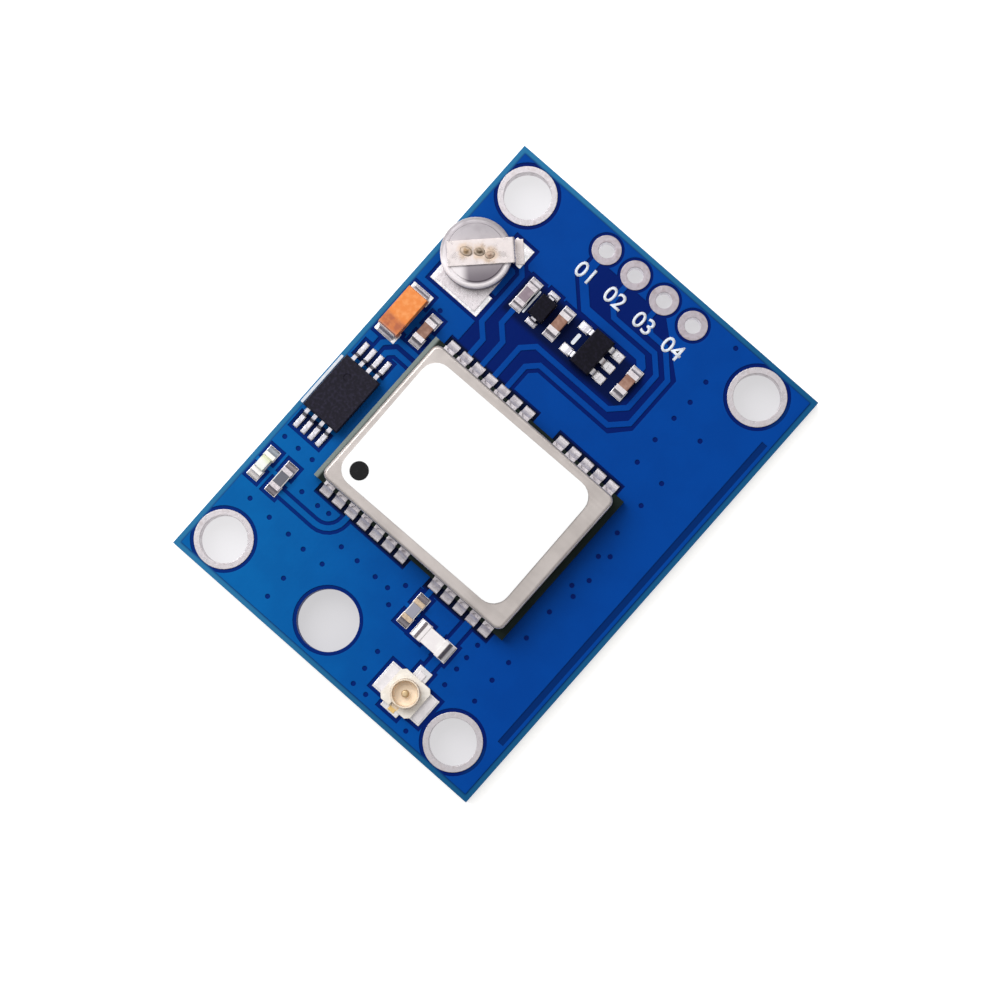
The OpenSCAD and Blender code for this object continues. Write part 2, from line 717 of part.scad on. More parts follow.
module circuit_board() {
    color("midnightblue")
        difference() {
            translate([left_edge, low_edge, 0])
                cube([board_w, board_l, board_t]);
            for (p = hole_places)
                translate([p[0], p[1], 0])
                    tinned_hole_room(hole_d, ring_d, plating_t);
            for (p = header_places)
                translate([p[0], p[1], 0])
                    tinned_hole_room(header_hole_d, header_ring_d, header_wall_t);
            translate([bare_hole[0], bare_hole[1], -1])
                cylinder(d = bare_hole_d, h = board_t + 2);
        }
}

// Rectangles of the lands, grown on every side
module land_shapes(grow) {
    for (p = lands)
        translate([p[0], p[1]])
            square([p[2] + 2 * grow, p[3] + 2 * grow], center = true);
}

// Discs of the tinned rings, grown all round
module ring_shapes(grow) {
    for (p = hole_places)
        translate(p)
            circle(d = ring_d + 2 * grow);
    for (p = header_places)
        translate(p)
            circle(d = header_ring_d + 1.6 * grow);
}

module track_shapes(grow) {
    for (t = tracks)
        polygon(thick_line(t[1], t[0] + 2 * grow));
}

// The copper plane left around the parts
module plane_shape() {
    groove_x = hole_x[1] + ring_d / 2 + 0.2;
    groove_w = 0.45;
    difference() {
        square([board_w - 2 * copper_inset, board_l - 2 * copper_inset], center = true);
        land_shapes(copper_gap);
        ring_shapes(copper_gap);
        track_shapes(copper_gap);
        polygon(bare_field);
        translate([groove_x, hole_y[0] + ring_d / 2])
            square([groove_w, hole_pitch_y - ring_d]);
        translate(bare_hole)
            circle(d = bare_hole_d + 2 * copper_gap);
        for (p = vias)
            translate([left_edge + p[0], low_edge + p[1]])
                circle(d = via_d, $fn = 16);
    }
}

module masked_copper() {
    color("royalblue")
        translate([0, 0, board_t])
            linear_extrude(copper_t) {
                plane_shape();
                difference() {
                    track_shapes(0);
                    land_shapes(0);
                    ring_shapes(0);
                }
            }
}

module mounting_hole_platings() {
    color("silver")
        for (p = hole_places)
            translate([p[0], p[1], 0])
                tinned_hole(hole_d, ring_d, plating_t);
}

module header_hole_platings() {
    color("silver")
        for (p = header_places)
            translate([p[0], p[1], 0])
                tinned_hole(header_hole_d, header_ring_d, header_wall_t);
}

module solder_lands() {
    color("gainsboro")
        for (p = lands)
            translate([p[0] - p[2] / 2, p[1] - p[3] / 2, board_t])
                cube([p[2], p[3], land_t]);
}

// Runs its children at each pad, with the receiver's edge at y = 0 and its board towards -y
module at_pads() {
    for (x = pad_xs) {
        translate([x, receiver[1] + receiver_l / 2, receiver_z])
            children();
        translate([x, receiver[1] - receiver_l / 2, receiver_z])
            mirror([0, 1, 0])
                children();
    }
}

module receiver_board() {
    color("seagreen")
        difference() {
            translate([receiver[0] - receiver_w / 2, receiver[1] - receiver_l / 2, receiver_z])
                cube([receiver_w, receiver_l, receiver_t]);
            at_pads()
                translate([0, 0, -1])
                    cylinder(d = pad_hole_d + 2 * plating_t, h = receiver_t + 2);
        }
}

// A castellated pad: a lined half hole with a short pad above and a long pad below
module castellated_pad() {
    difference() {
        union() {
            translate([-pad_w / 2, -pad_top_l, receiver_t])
                cube([pad_w, pad_top_l, plating_t]);
            translate([-pad_w / 2, -pad_under_l, -plating_t])
                cube([pad_w, pad_under_l, plating_t]);
            translate([0, 0, -plating_t])
                cylinder(d = pad_hole_d + 2 * plating_t, h = receiver_t + 2 * plating_t);
        }
        translate([0, 0, -1])
            cylinder(d = pad_hole_d, h = receiver_t + 2);
        translate([-pad_w, 0, -1])
            cube([2 * pad_w, pad_w, receiver_t + 2]);
    }
}

module castellated_pads() {
    color("silver")
        at_pads()
            castellated_pad();
}

// Solder that fills a half hole and runs out over its land
module pad_joint() {
    rise = receiver_t * solder_climb + plating_t;
    translate([0, 0, -plating_t]) {
        solder_fillet(pad_w, pad_reach, rise);
        difference() {
            cylinder(d = pad_hole_d, h = rise);
            translate([-pad_w, 0, -1])
                cube([2 * pad_w, pad_w, rise + 2]);
        }
    }
}

module receiver_solder_joints() {
    color("lightgray")
        at_pads()
            pad_joint();
}

// Gaps between the feet along one wall of the can
module foot_gaps(side_l, feet) {
    room = (side_l - 2 * can_corner_r - feet * foot_w) / (feet - 1);
    for (i = [0:feet - 2])
        translate([-side_l / 2 + can_corner_r + foot_w + i * (foot_w + room), -can_t * 1.5, -1])
            cube([room, can_t * 3, 1 + foot_gap]);
}

module shield_can() {
    color("tan")
        translate([receiver[0], receiver[1], receiver_top])
            difference() {
                bent_box(can_w, can_l, can_h, can_corner_r, can_bend_r);
                translate([0, 0, -1])
                    bent_box(
                        can_w - 2 * can_t, can_l - 2 * can_t, can_h - can_t + 1,
                        can_corner_r - can_t, can_bend_r - can_t
                    );
                for (s = [-1, 1]) {
                    translate([0, s * (can_l - can_t) / 2, 0])
                        foot_gaps(can_w, feet_long);
                    translate([s * (can_w - can_t) / 2, 0, 0])
                        rotate([0, 0, 90])
                            foot_gaps(can_l, feet_short);
                }
            }
}

module receiver_label() {
    color("white")
        translate([label[0], label[1], can_top])
            rotate([0, 0, label_turn])
                linear_extrude(label_t)
                    polygon(round_rectangle(label_w, label_l, label_r));
}

module first_pad_dot() {
    color("black")
        translate([label[0], label[1], can_top + label_t])
            rotate([0, 0, label_turn])
                translate(dot_in_label)
                    cylinder(d = dot_d, h = dot_t);
}

chip_place = [receiver[0] - receiver_w * 0.12, receiver[1]];
clock_place = [chip_place[0] + chip_side / 2 + 1 + clock_w / 2, receiver[1] + 1.6];
filter_place = [clock_place[0] + clock_w / 2 + 0.8 + filter_w / 2, receiver[1] - 1.8];

module receiver_chip() {
    color("dimgray")
        translate([chip_place[0], chip_place[1], receiver_top])
            difference() {
                translate([-chip_side / 2, -chip_side / 2, 0])
                    cube([chip_side, chip_side, chip_h]);
                translate([-chip_side / 2 + 0.6, -chip_side / 2 + 0.6, chip_h - 0.05])
                    cylinder(d = 0.5, h = 1);
            }
}

lid_t = 0.12;
lid_inset = 0.15;

module clock_oscillator() {
    color("dimgray")
        translate([clock_place[0] - clock_w / 2, clock_place[1] - clock_l / 2, receiver_top])
            cube([clock_w, clock_l, clock_h - lid_t]);
}

module oscillator_lid() {
    color("gold")
        translate([
            clock_place[0] - clock_w / 2 + lid_inset,
            clock_place[1] - clock_l / 2 + lid_inset,
            receiver_top + clock_h - lid_t
        ])
            cube([clock_w - 2 * lid_inset, clock_l - 2 * lid_inset, lid_t]);
}

module band_filter() {
    color("wheat")
        translate([filter_place[0] - filter_w / 2, filter_place[1] - filter_l / 2, receiver_top])
            cube([filter_w, filter_l, filter_h]);
}

// The cell: a pressed can with a round rim and a shallow step around its closed top
module cell_can() {
    step_r = cell_d / 2 - cell_rim_r - 0.12;
    step_h = 0.06;
    rim = [
        for (k = [0:6])
            [cell_d / 2 - cell_rim_r * (1 - cos(k * 15)), cell_h - step_h - cell_rim_r * (1 - sin(k * 15))]
    ];
    color("gainsboro")
        translate([cell[0], cell[1], cell_z])
            rotate_extrude($fn = 64)
                polygon(concat(
                    [[0, 0], [cell_d / 2 - 0.15, 0], [cell_d / 2, 0.15]],
                    rim,
                    [[step_r, cell_h - step_h], [step_r - step_h, cell_h], [0, cell_h]]
                ));
}

// Strap welded across the top of the cell, bent down to its land
module cell_top_strap() {
    clear = 0.06;
    drop_x = cell_d / 2 + clear + strap_t / 2;
    path = [
        [-cell_d * 0.4, cell_top_z + strap_t / 2],
        [drop_x, cell_top_z + strap_t / 2],
        [drop_x, land_z + strap_t / 2],
        [tab_reach, land_z + strap_t / 2]
    ];
    color("silver")
        translate([cell[0], cell[1], 0])
            rotate([0, 0, 45])
                translate([0, strap_w / 2, 0])
                    rotate([90, 0, 0])
                        linear_extrude(strap_w)
                            polygon(thick_line(round_path(path, strap_t * 0.7, 4), strap_t));
}

// Strap welded under the cell, lying on its lower land
module cell_base_strap() {
    nose = cell_land[1] - cell_land_l / 2 + 0.2;
    color("silver")
        translate([cell_land[0] - base_strap_w / 2, nose, land_z])
            cube([base_strap_w, cell[1] - nose, strap_t]);
}

module at_tantalum() {
    translate([tantalum[0], tantalum[1], land_z])
        children();
}

// One terminal: out of the body's end at half height, down its end face and under it
module tantalum_strip() {
    tuck = 0.8;
    under = terminal_t / 2;
    face = tantalum_l / 2 + terminal_t / 2;
    path = [
        [tantalum_l / 2 - 0.3, tantalum_h / 2 + terminal_t],
        [face, tantalum_h / 2 + terminal_t],
        [face, under],
        [tantalum_l / 2 - tuck, under]
    ];
    rotate([90, 0, 90])
        translate([0, 0, -terminal_w / 2])
            linear_extrude(terminal_w)
                polygon(thick_line(round_path(path, terminal_t * 0.7, 4), terminal_t));
}

module tantalum_terminals() {
    color("silver")
        at_tantalum()
            for (s = [0, 1])
                mirror([0, s, 0])
                    tantalum_strip();
}

module tantalum_body() {
    color("orange")
        at_tantalum()
            difference() {
                translate([0, 0, terminal_t])
                    drafted_block(tantalum_w, tantalum_l, tantalum_h - terminal_t, draft);
                for (s = [0, 1])
                    mirror([0, s, 0])
                        tantalum_strip();
            }
}

// Runs its children at each place of a list, on the lands
module at_each(places) {
    for (p = places)
        translate([p[0], p[1], land_z])
            children();
}

module capacitor_bodies() {
    color("rosybrown")
        at_each(capacitors)
            chip_core(small_w, small_l, capacitor_h);
}

module capacitor_ends() {
    color("silver")
        at_each(capacitors)
            chip_ends(small_w, small_l, capacitor_h, small_band);
}

module resistor_cores() {
    color("whitesmoke")
        at_each(resistors)
            translate([-small_w / 2, -small_l / 2 + band_t, band_t])
                cube([small_w, small_l - 2 * band_t, resistor_h - 2 * band_t]);
}

module resistor_coats() {
    color("dimgray")
        at_each(resistors)
            translate([-small_w / 2 + 0.06, -small_l / 2 + small_band, resistor_h - band_t])
                cube([small_w - 0.12, small_l - 2 * small_band, band_t]);
}

module resistor_ends() {
    color("silver")
        at_each(resistors)
            wrapped_ends(small_w, small_l, resistor_h, small_band);
}

module at_inductor() {
    translate([inductor[0], inductor[1], land_z])
        rotate([0, 0, 90])
            children();
}

module inductor_body() {
    color("white")
        at_inductor()
            chip_core(inductor_w, inductor_l, inductor_h);
}

module inductor_ends() {
    color("silver")
        at_inductor()
            chip_ends(inductor_w, inductor_l, inductor_h, small_band);
}

module lamp_base() {
    color("ivory")
        at_each([lamp])
            translate([-small_w / 2, -small_l / 2 + band_t, band_t])
                cube([small_w, small_l - 2 * band_t, lamp_base_h - 2 * band_t]);
}

module lamp_ends() {
    color("silver")
        at_each([lamp])
            wrapped_ends(small_w, small_l, lamp_base_h, (small_l - lamp_lens_l) / 2);
}

module lamp_lens() {
    foot = lamp_base_h - band_t;
    color("lightyellow")
        at_each([lamp])
            translate([0, 0, foot])
                intersection() {
                    translate([0, 0, -lamp_lens_h - band_t])
                        drafted_block(small_w, lamp_lens_l, 2 * (lamp_lens_h + band_t), 0.08);
                    translate([-small_w, -small_l, 0])
                        cube([2 * small_w, 2 * small_l, lamp_lens_h + band_t]);
                }
}

// Solder at both ends of a chip part of length l
module end_joints(l, w, run, rise) {
    for (s = [0, 1])
        mirror([0, s, 0])
            translate([0, l / 2, 0])
                solder_fillet(w, run, rise);
}

module chip_solder_joints() {
    joint_over = land_over - 0.03;
    color("lightgray") {
        at_each(capacitors)
            end_joints(small_l, small_w, joint_over, capacitor_h * 0.55);
        at_each(concat(resistors, [lamp]))
            end_joints(small_l, small_w, joint_over, resistor_h * 0.6);
        at_inductor()
            end_joints(inductor_l, inductor_w, inductor_over - 0.03, inductor_h * 0.5);
        at_tantalum()
            end_joints(tantalum_l + 2 * terminal_t, terminal_w, joint_over - terminal_t, tantalum_h * 0.3);
    }
}

module at_memory() {
    translate([memory[0], memory[1], land_z])
        rotate([0, 0, 90])
            children();
}

module memory_lead_rows() {
    for (s = [0, 1], i = [0:3])
        mirror([s, 0, 0])
            translate([0, (i - 1.5) * memory_pitch, 0])
                formed_lead(
                    memory_l / 2, memory_span / 2, standoff + memory_h / 2, memory_foot, memory_lead_w
                );
}

module memory_body() {
    color("darkslategray")
        at_memory()
            difference() {
                translate([0, 0, standoff])
                    drafted_block(memory_l, memory_w, memory_h, draft);
                memory_lead_rows();
                translate([memory_l / 2 - 1.15, memory_w / 2 - 1.1, standoff + memory_h - 0.05])
                    cylinder(d = 0.5, h = 1);
            }
}

module memory_leads() {
    color("silver")
        at_memory()
            memory_lead_rows();
}

module at_regulator() {
    translate([regulator[0], regulator[1], land_z])
        children();
}

module regulator_lead_rows() {
    for (q = regulator_sides)
        translate([0, q[1] * regulator_pitch, 0])
            mirror([q[0] < 0 ? 1 : 0, 0, 0])
                formed_lead(
                    regulator_w / 2, regulator_span / 2, standoff + regulator_h / 2,
                    regulator_foot, regulator_lead_w
                );
}

module regulator_body() {
    color("darkslategray")
        at_regulator()
            difference() {
                translate([0, 0, standoff])
                    drafted_block(regulator_w, regulator_l, regulator_h, draft);
                regulator_lead_rows();
            }
}

module regulator_leads() {
    color("silver")
        at_regulator()
            regulator_lead_rows();
}

module at_diode() {
    translate([diode[0], diode[1], land_z])
        rotate([0, 0, 90])
            children();
}

module diode_lead_pair() {
    for (s = [0, 1])
        mirror([s, 0, 0])
            formed_lead(
                diode_l / 2, diode_span / 2, standoff + diode_h / 2, diode_foot - 0.05, diode_lead_w
            );
}

module diode_body() {
    color("darkslategray")
        at_diode()
            difference() {
                translate([0, 0, standoff])
                    drafted_block(diode_l, diode_w, diode_h, draft);
                diode_lead_pair();
            }
}

module diode_leads() {
    color("silver")
        at_diode()
            diode_lead_pair();
}

module at_socket() {
    translate([socket[0], socket[1], land_z])
        children();
}

tail_w = 0.5;
tail_room = 0.2;

// The ring: a spread foot inside the base, a snap groove, two broad ground tabs and a tail towards -Y
module ring_form() {
    outer = socket_ring_d / 2;
    inner = outer - socket_ring_t;
    groove_z = socket_base_h + (socket_h - socket_base_h) * 0.5;
    lip = 0.08;
    ring_foot = 0.12;
    difference() {
        union() {
            rotate_extrude($fn = 64)
                polygon([
                    [inner, 0], [outer + ring_foot, 0], [outer, socket_base_h], [outer, groove_z - lip],
                    [outer - socket_groove, groove_z], [outer, groove_z + lip], [outer, socket_h - lip],
                    [outer - lip / 2, socket_h], [inner + lip / 2, socket_h], [inner, socket_h - lip]
                ]);
            difference() {
                union() {
                    translate([-socket_side / 2 - socket_tail_reach, -socket_tab_w / 2, 0])
                        cube([socket_side + 2 * socket_tail_reach, socket_tab_w, tail_t]);
                    translate([-tail_w / 2, -socket_side / 2 - 0.25, 0])
                        cube([tail_w, socket_side / 2, tail_t]);
                }
                translate([0, 0, -1])
                    cylinder(r = outer - EPS, h = 3);
            }
        }
        translate([-tail_w / 2 - tail_room, 0, -1])
            cube([tail_w + 2 * tail_room, socket_side, 1 + tail_t + tail_room]);
    }
}

// The centre pin with a round nose and a flat tail towards +Y
module pin_form() {
    pin_r = socket_pin_d / 2;
    nose = 0.12;
    tip = socket_h - 0.2;
    rotate_extrude()
        polygon(concat(
            [[0, 0], [pin_r, 0]],
            [for (k = [0:4]) [pin_r - nose * (1 - cos(k * 22.5)), tip - nose * (1 - sin(k * 22.5))]],
            [[0, tip]]
        ));
    translate([-tail_w / 2, 0, 0])
        cube([tail_w, socket_side / 2 + 0.5, tail_t]);
}

module socket_ring() {
    color("khaki")
        at_socket()
            ring_form();
}

module socket_pin() {
    color("gold")
        at_socket()
            pin_form();
}

module socket_base() {
    corner = 0.28;
    notch_w = tail_w + 0.15;
    half = socket_side / 2;
    color("linen")
        at_socket()
            difference() {
                linear_extrude(socket_base_h)
                    polygon([
                        [-half + corner, -half], [half - corner, -half], [half, -half + corner],
                        [half, half - corner], [half - corner, half], [-half + corner, half],
                        [-half, half - corner], [-half, -half + corner]
                    ]);
                ring_form();
                pin_form();
                translate([-notch_w / 2, -socket_side, tail_t])
                    cube([notch_w, socket_side - socket_ring_d / 2 + socket_ring_t / 2, 1]);
            }
}

circuit_board();
masked_copper();
mounting_hole_platings();
header_hole_platings();
solder_lands();
receiver_board();
castellated_pads();
receiver_solder_joints();
shield_can();
receiver_label();
first_pad_dot();
receiver_chip();
clock_oscillator();
oscillator_lid();
band_filter();
cell_can();
cell_top_strap();
cell_base_strap();
tantalum_body();
tantalum_terminals();
capacitor_bodies();
capacitor_ends();
resistor_cores();
resistor_coats();
resistor_ends();
inductor_body();
inductor_ends();
lamp_base();
lamp_lens();
lamp_ends();
chip_solder_joints();
memory_body();
memory_leads();
regulator_body();
regulator_leads();
diode_body();
diode_leads();
socket_base();
socket_ring();
socket_pin();
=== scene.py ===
# %% [markdown]
# A satellite receiver module, dressed for its portrait.
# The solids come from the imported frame: a blue carrier board, a receiver under a metal can, and small soldered parts.
# This lesson gives every solid its finish, then models what is too fine for the solids: printed marks, weld marks and
# solder cushions. Polished edges are part of the finishes.

import bpy
from mathutils import Euler, Matrix, Vector


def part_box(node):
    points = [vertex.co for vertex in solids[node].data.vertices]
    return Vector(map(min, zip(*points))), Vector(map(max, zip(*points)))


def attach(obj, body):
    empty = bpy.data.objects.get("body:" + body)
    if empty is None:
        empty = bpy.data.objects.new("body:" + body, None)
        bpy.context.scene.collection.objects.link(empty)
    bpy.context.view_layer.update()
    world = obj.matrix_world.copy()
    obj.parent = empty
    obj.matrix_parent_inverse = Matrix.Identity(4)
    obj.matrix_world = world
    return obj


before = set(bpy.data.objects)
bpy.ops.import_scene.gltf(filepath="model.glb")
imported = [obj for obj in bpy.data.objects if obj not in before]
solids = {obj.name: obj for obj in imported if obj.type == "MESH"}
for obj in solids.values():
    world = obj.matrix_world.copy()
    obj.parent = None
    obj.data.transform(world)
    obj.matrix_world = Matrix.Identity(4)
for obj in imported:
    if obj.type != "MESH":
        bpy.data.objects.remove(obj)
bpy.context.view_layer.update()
MM = 0.001

# %% [markdown]
# Every finish starts as a Principled shader, and grows by a few texture nodes.
# Colours are easier to judge as the eight-bit values a screen shows, so one helper turns those into the linear
# values that the shader wants. All patterns read Object coordinates, in metres: a scale of 2000 means grains of
# about half a millimetre.

# %% helpers for finishes


def screen_colour(red, green, blue):
    def linear(value):
        value = value / 255
        return value / 12.92 if value <= 0.04045 else ((value + 0.055) / 1.055) ** 2.4

    return (linear(red), linear(green), linear(blue), 1.0)


class Finish:
    """A new material with a Principled shader, and short ways to add texture to it."""

    # Places of the colour sockets of a mix node, which has sockets of the same name for other kinds of data
    MIX_FIRST, MIX_SECOND, MIX_RESULT = 6, 7, 2
    EDGE_SAMPLES = 6

    def __init__(self, name, colour, roughness, metallic=0.0, specular=0.5):
        self.material = bpy.data.materials.new(name)
        self.material.use_nodes = True
        self.tree = self.material.node_tree
        self.shader = self.tree.nodes["Principled BSDF"]
        self.set("Base Color", colour)
        self.set("Roughness", roughness)
        self.set("Metallic", metallic)
        self.set("Specular IOR Level", specular)
        self.place = self.tree.nodes.new("ShaderNodeTexCoord").outputs["Object"]

    def set(self, socket, value):
        self.shader.inputs[socket].default_value = value

    def feed(self, socket, output):
        self.tree.links.new(output, self.shader.inputs[socket])

    def noise(self, scale, detail=3.0, stretch=(1, 1, 1)):
        mapping = self.tree.nodes.new("ShaderNodeMapping")
        mapping.inputs["Scale"].default_value = stretch
        self.tree.links.new(self.place, mapping.inputs["Vector"])
        node = self.tree.nodes.new("ShaderNodeTexNoise")
        node.inputs["Scale"].default_value = scale
        node.inputs["Detail"].default_value = detail
        self.tree.links.new(mapping.outputs["Vector"], node.inputs["Vector"])
        return node.outputs["Fac"]

    def ramp(self, source, low, high, low_value=0.0, high_value=1.0):
        node = self.tree.nodes.new("ShaderNodeMapRange")
        node.interpolation_type = "SMOOTHSTEP"
        for name, value in (("From Min", low), ("From Max", high), ("To Min", low_value), ("To Max", high_value)):
            node.inputs[name].default_value = value
        self.tree.links.new(source, node.inputs["Value"])
        return node.outputs["Result"]

    def along(self, axis):
        node = self.tree.nodes.new("ShaderNodeSeparateXYZ")
        self.tree.links.new(self.place, node.inputs["Vector"])
        return node.outputs[axis]

    def band(self, axis, low, high, soft):
        rise = self.ramp(self.along(axis), low - soft, low + soft)
        fall = self.ramp(self.along(axis), high - soft, high + soft, 1.0, 0.0)
        return self.math("MULTIPLY", rise, fall)

    def math(self, operation, first, second):
        node = self.tree.nodes.new("ShaderNodeMath")
        node.operation = operation
        for slot, value in enumerate((first, second)):
            if isinstance(value, (int, float)):
                node.inputs[slot].default_value = value
            else:
                self.tree.links.new(value, node.inputs[slot])
        return node.outputs["Value"]

    def blend(self, factor, first, second):
        node = self.tree.nodes.new("ShaderNodeMix")
        node.data_type = "RGBA"
        self.tree.links.new(factor, node.inputs["Factor"])
        for slot, value in ((self.MIX_FIRST, first), (self.MIX_SECOND, second)):
            if isinstance(value, tuple):
                node.inputs[slot].default_value = value
            else:
                self.tree.links.new(value, node.inputs[slot])
        return node.outputs[self.MIX_RESULT]

    def slant(self, share_x, share_y):
        """Distance along a level direction, given by its shares of X and Y."""
        part_x = self.math("MULTIPLY", self.along("X"), share_x)
        part_y = self.math("MULTIPLY", self.along("Y"), share_y)
        return self.math("ADD", part_x, part_y)

    def from_axis(self, x, y):
        """Distance from an upright axis."""
        side_x = self.math("POWER", self.math("SUBTRACT", self.along("X"), x), 2.0)
        side_y = self.math("POWER", self.math("SUBTRACT", self.along("Y"), y), 2.0)
        return self.math("SQRT", self.math("ADD", side_x, side_y), 0.0)

    def tone(self):
        """The colour that is fed to the shader so far."""
        return self.shader.inputs["Base Color"].links[0].from_socket

    def edge(self, radius):
        node = self.tree.nodes.new("ShaderNodeBevel")
        node.samples = self.EDGE_SAMPLES
        node.inputs["Radius"].default_value = radius
        return node.outputs["Normal"]

    def bump(self, height, depth, strength=1.0, edge=None):
        node = self.tree.nodes.new("ShaderNodeBump")
        node.inputs["Distance"].default_value = depth
        node.inputs["Strength"].default_value = strength
        self.tree.links.new(height, node.inputs["Height"])
        if edge is not None:
            self.tree.links.new(edge, node.inputs["Normal"])
        self.feed("Normal", node.outputs["Normal"])


def dress(finish, *names):
    for name in names:
        mesh = solids[name].data
        mesh.materials.clear()
        mesh.materials.append(finish.material)
    print(finish.material.name, "on", ", ".join(names))


# %% [markdown]
# The carrier board is glass laminate under blue solder mask. Where copper lies under the mask it looks bright blue,
# and bare laminate looks navy. The mask is a thin lacquer: a soft gloss, a faint weave telegraphed from the glass
# cloth, and a painted sheen, lighter towards the lit corner and deeper towards the far one. Between the receiver's
# pads, and close round the leads, the dams of mask are painted almost black: painted shade. Near its rim the mask is
# painted paler, a painted sheen for the light that creeps into the glass there, most of all on the left, where the
# light comes from.
# The sawn sides show the laminate itself: eight plies of glass in a grey-green resin, between the two skins of mask.
# The underside is one plane of copper under mask. All of this is told apart by place in the one material.

# %% solder mask on laminate and on copper
board_low, board_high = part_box("circuit_board")
WEAVE = 0.45 * MM
WEAVE_DEPTH = 0.004 * MM
WAVE_PERIOD = 0.314  # of a wave texture whose scale is one
LIT_SIDE, DEEP_SIDE = -18 * MM, 2 * MM  # along the slant from the lit corner to the far one
PAD_REACH = 0.75 * MM
PART_ROW_LOW = (-6.8 * MM, 8.9 * MM)
LEAD_SHADE = 0.75
GROOVE = (11.4 * MM, 11.7 * MM)
RIM = 0.35 * MM
PLIES = 8
SKIN = 0.07 * MM
SAWN = 0.02 * MM


def weave_height(finish):
    wave_x = finish.tree.nodes.new("ShaderNodeTexWave")
    wave_y = finish.tree.nodes.new("ShaderNodeTexWave")
    wave_x.bands_direction = "X"
    wave_y.bands_direction = "Y"
    for wave in (wave_x, wave_y):
        wave.inputs["Scale"].default_value = WAVE_PERIOD / WEAVE
        wave.inputs["Distortion"].default_value = 0.6
        finish.tree.links.new(finish.place, wave.inputs["Vector"])
    return finish.math("MULTIPLY", wave_x.outputs["Fac"], wave_y.outputs["Fac"])


def cloud_of(finish):
    return finish.ramp(finish.noise(420, 4.0), 0.35, 0.65)


def mask_finish(name, lit, deep, roughness):
    finish = Finish(name, lit, roughness, specular=0.04)
    # Painted sheen: the mask is painted lighter towards the lit corner and deeper towards the far one.
    tone = finish.blend(finish.ramp(finish.slant(0.79, 0.61), LIT_SIDE, DEEP_SIDE), lit, deep)
    tone = finish.blend(finish.math("MULTIPLY", cloud_of(finish), 0.12), tone, screen_colour(0, 40, 110))
    return finish, tone


laminate, tone = mask_finish("navy_mask", screen_colour(0, 40, 116), screen_colour(0, 26, 100), 0.4)
receiver_low, receiver_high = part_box("receiver_board")
# Painted shade: between the receiver's pads, and round the leads of the memory and of the part row, the top of the mask
# is painted almost black.
beside_pads = laminate.band("X", receiver_low[0] + 0.5 * MM, receiver_high[0] - 0.7 * MM, 0.2 * MM)
pad_rows = laminate.band("Y", receiver_low[1] - PAD_REACH, receiver_high[1] + PAD_REACH, 0.12 * MM)
shade = laminate.math("MULTIPLY", beside_pads, pad_rows)
upper_skin = laminate.ramp(laminate.along("Z"), board_high[2] - 0.3 * MM, board_high[2] - 0.2 * MM)
memory_low, memory_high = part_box("memory_leads")
row_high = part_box("capacitor_ends")[1]
for low, high in ((memory_low, memory_high), (PART_ROW_LOW, row_high)):
    zone_x = laminate.band("X", low[0] - 0.2 * MM, high[0] + 0.2 * MM, 0.15 * MM)
    zone_y = laminate.band("Y", low[1] - 0.4 * MM, high[1] + 0.4 * MM, 0.25 * MM)
    zone = laminate.math("MULTIPLY", laminate.math("MULTIPLY", zone_x, zone_y), LEAD_SHADE)
    shade = laminate.math("MAXIMUM", shade, zone)
tone = laminate.blend(laminate.math("MULTIPLY", shade, upper_skin), tone, screen_colour(2, 12, 44))
groove = laminate.ramp(laminate.along("X"), *GROOVE)
tone = laminate.blend(groove, tone, screen_colour(0, 42, 106))
inner_x = laminate.band("X", board_low[0] + RIM, board_high[0] - RIM, 0.12 * MM)
inner_y = laminate.band("Y", board_low[1] + RIM, board_high[1] - RIM, 0.12 * MM)
inside = laminate.math("MULTIPLY", inner_x, inner_y)
# Painted sheen: the rim is painted paler, most of all on the left, where the light comes from.
across = laminate.ramp(laminate.along("X"), board_low[0], board_high[0])
rim_tone = laminate.blend(across, screen_colour(44, 116, 162), screen_colour(22, 86, 130))
tone = laminate.blend(inside, rim_tone, tone)
underside = laminate.ramp(laminate.along("Z"), 0.04 * MM, 0.08 * MM, 1.0, 0.0)
plane_tone = laminate.blend(cloud_of(laminate), screen_colour(0, 80, 156), screen_colour(0, 68, 144))
tone = laminate.blend(underside, tone, plane_tone)
PLY = (board_high[2] - board_low[2]) / PLIES
ply_wave = laminate.math("PINGPONG", laminate.math("SUBTRACT", laminate.along("Z"), board_low[2]), PLY / 2)
glass = laminate.ramp(laminate.noise(2600, 4.0, (1, 1, 3)), 0.3, 0.7)
core = laminate.blend(glass, screen_colour(144, 148, 122), screen_colour(174, 173, 146))
core = laminate.blend(laminate.ramp(ply_wave, 0.0, PLY * 0.2, 0.6, 0.0), core, screen_colour(104, 116, 104))
side_x = laminate.band("X", board_low[0] + SAWN, board_high[0] - SAWN, SAWN / 2)
side_y = laminate.band("Y", board_low[1] + SAWN, board_high[1] - SAWN, SAWN / 2)
on_side = laminate.ramp(laminate.math("MULTIPLY", side_x, side_y), 0.0, 1.0, 1.0, 0.0)
below_skin = laminate.band("Z", board_low[2] + SKIN, board_high[2] - SKIN, 0.02 * MM)
laminate.feed("Base Color", laminate.blend(laminate.math("MULTIPLY", on_side, below_skin), tone, core))
laminate.bump(weave_height(laminate), WEAVE_DEPTH, 0.6)
dress(laminate, "circuit_board")
print("laminate of", PLIES, "plies,", round(PLY / MM, 2), "mm each")

copper, tone = mask_finish("blue_mask", screen_colour(4, 98, 168), screen_colour(0, 66, 152), 0.38)
copper.feed("Base Color", tone)
copper.bump(weave_height(copper), WEAVE_DEPTH, 0.6, copper.edge(0.05 * MM))
dress(copper, "masked_copper")

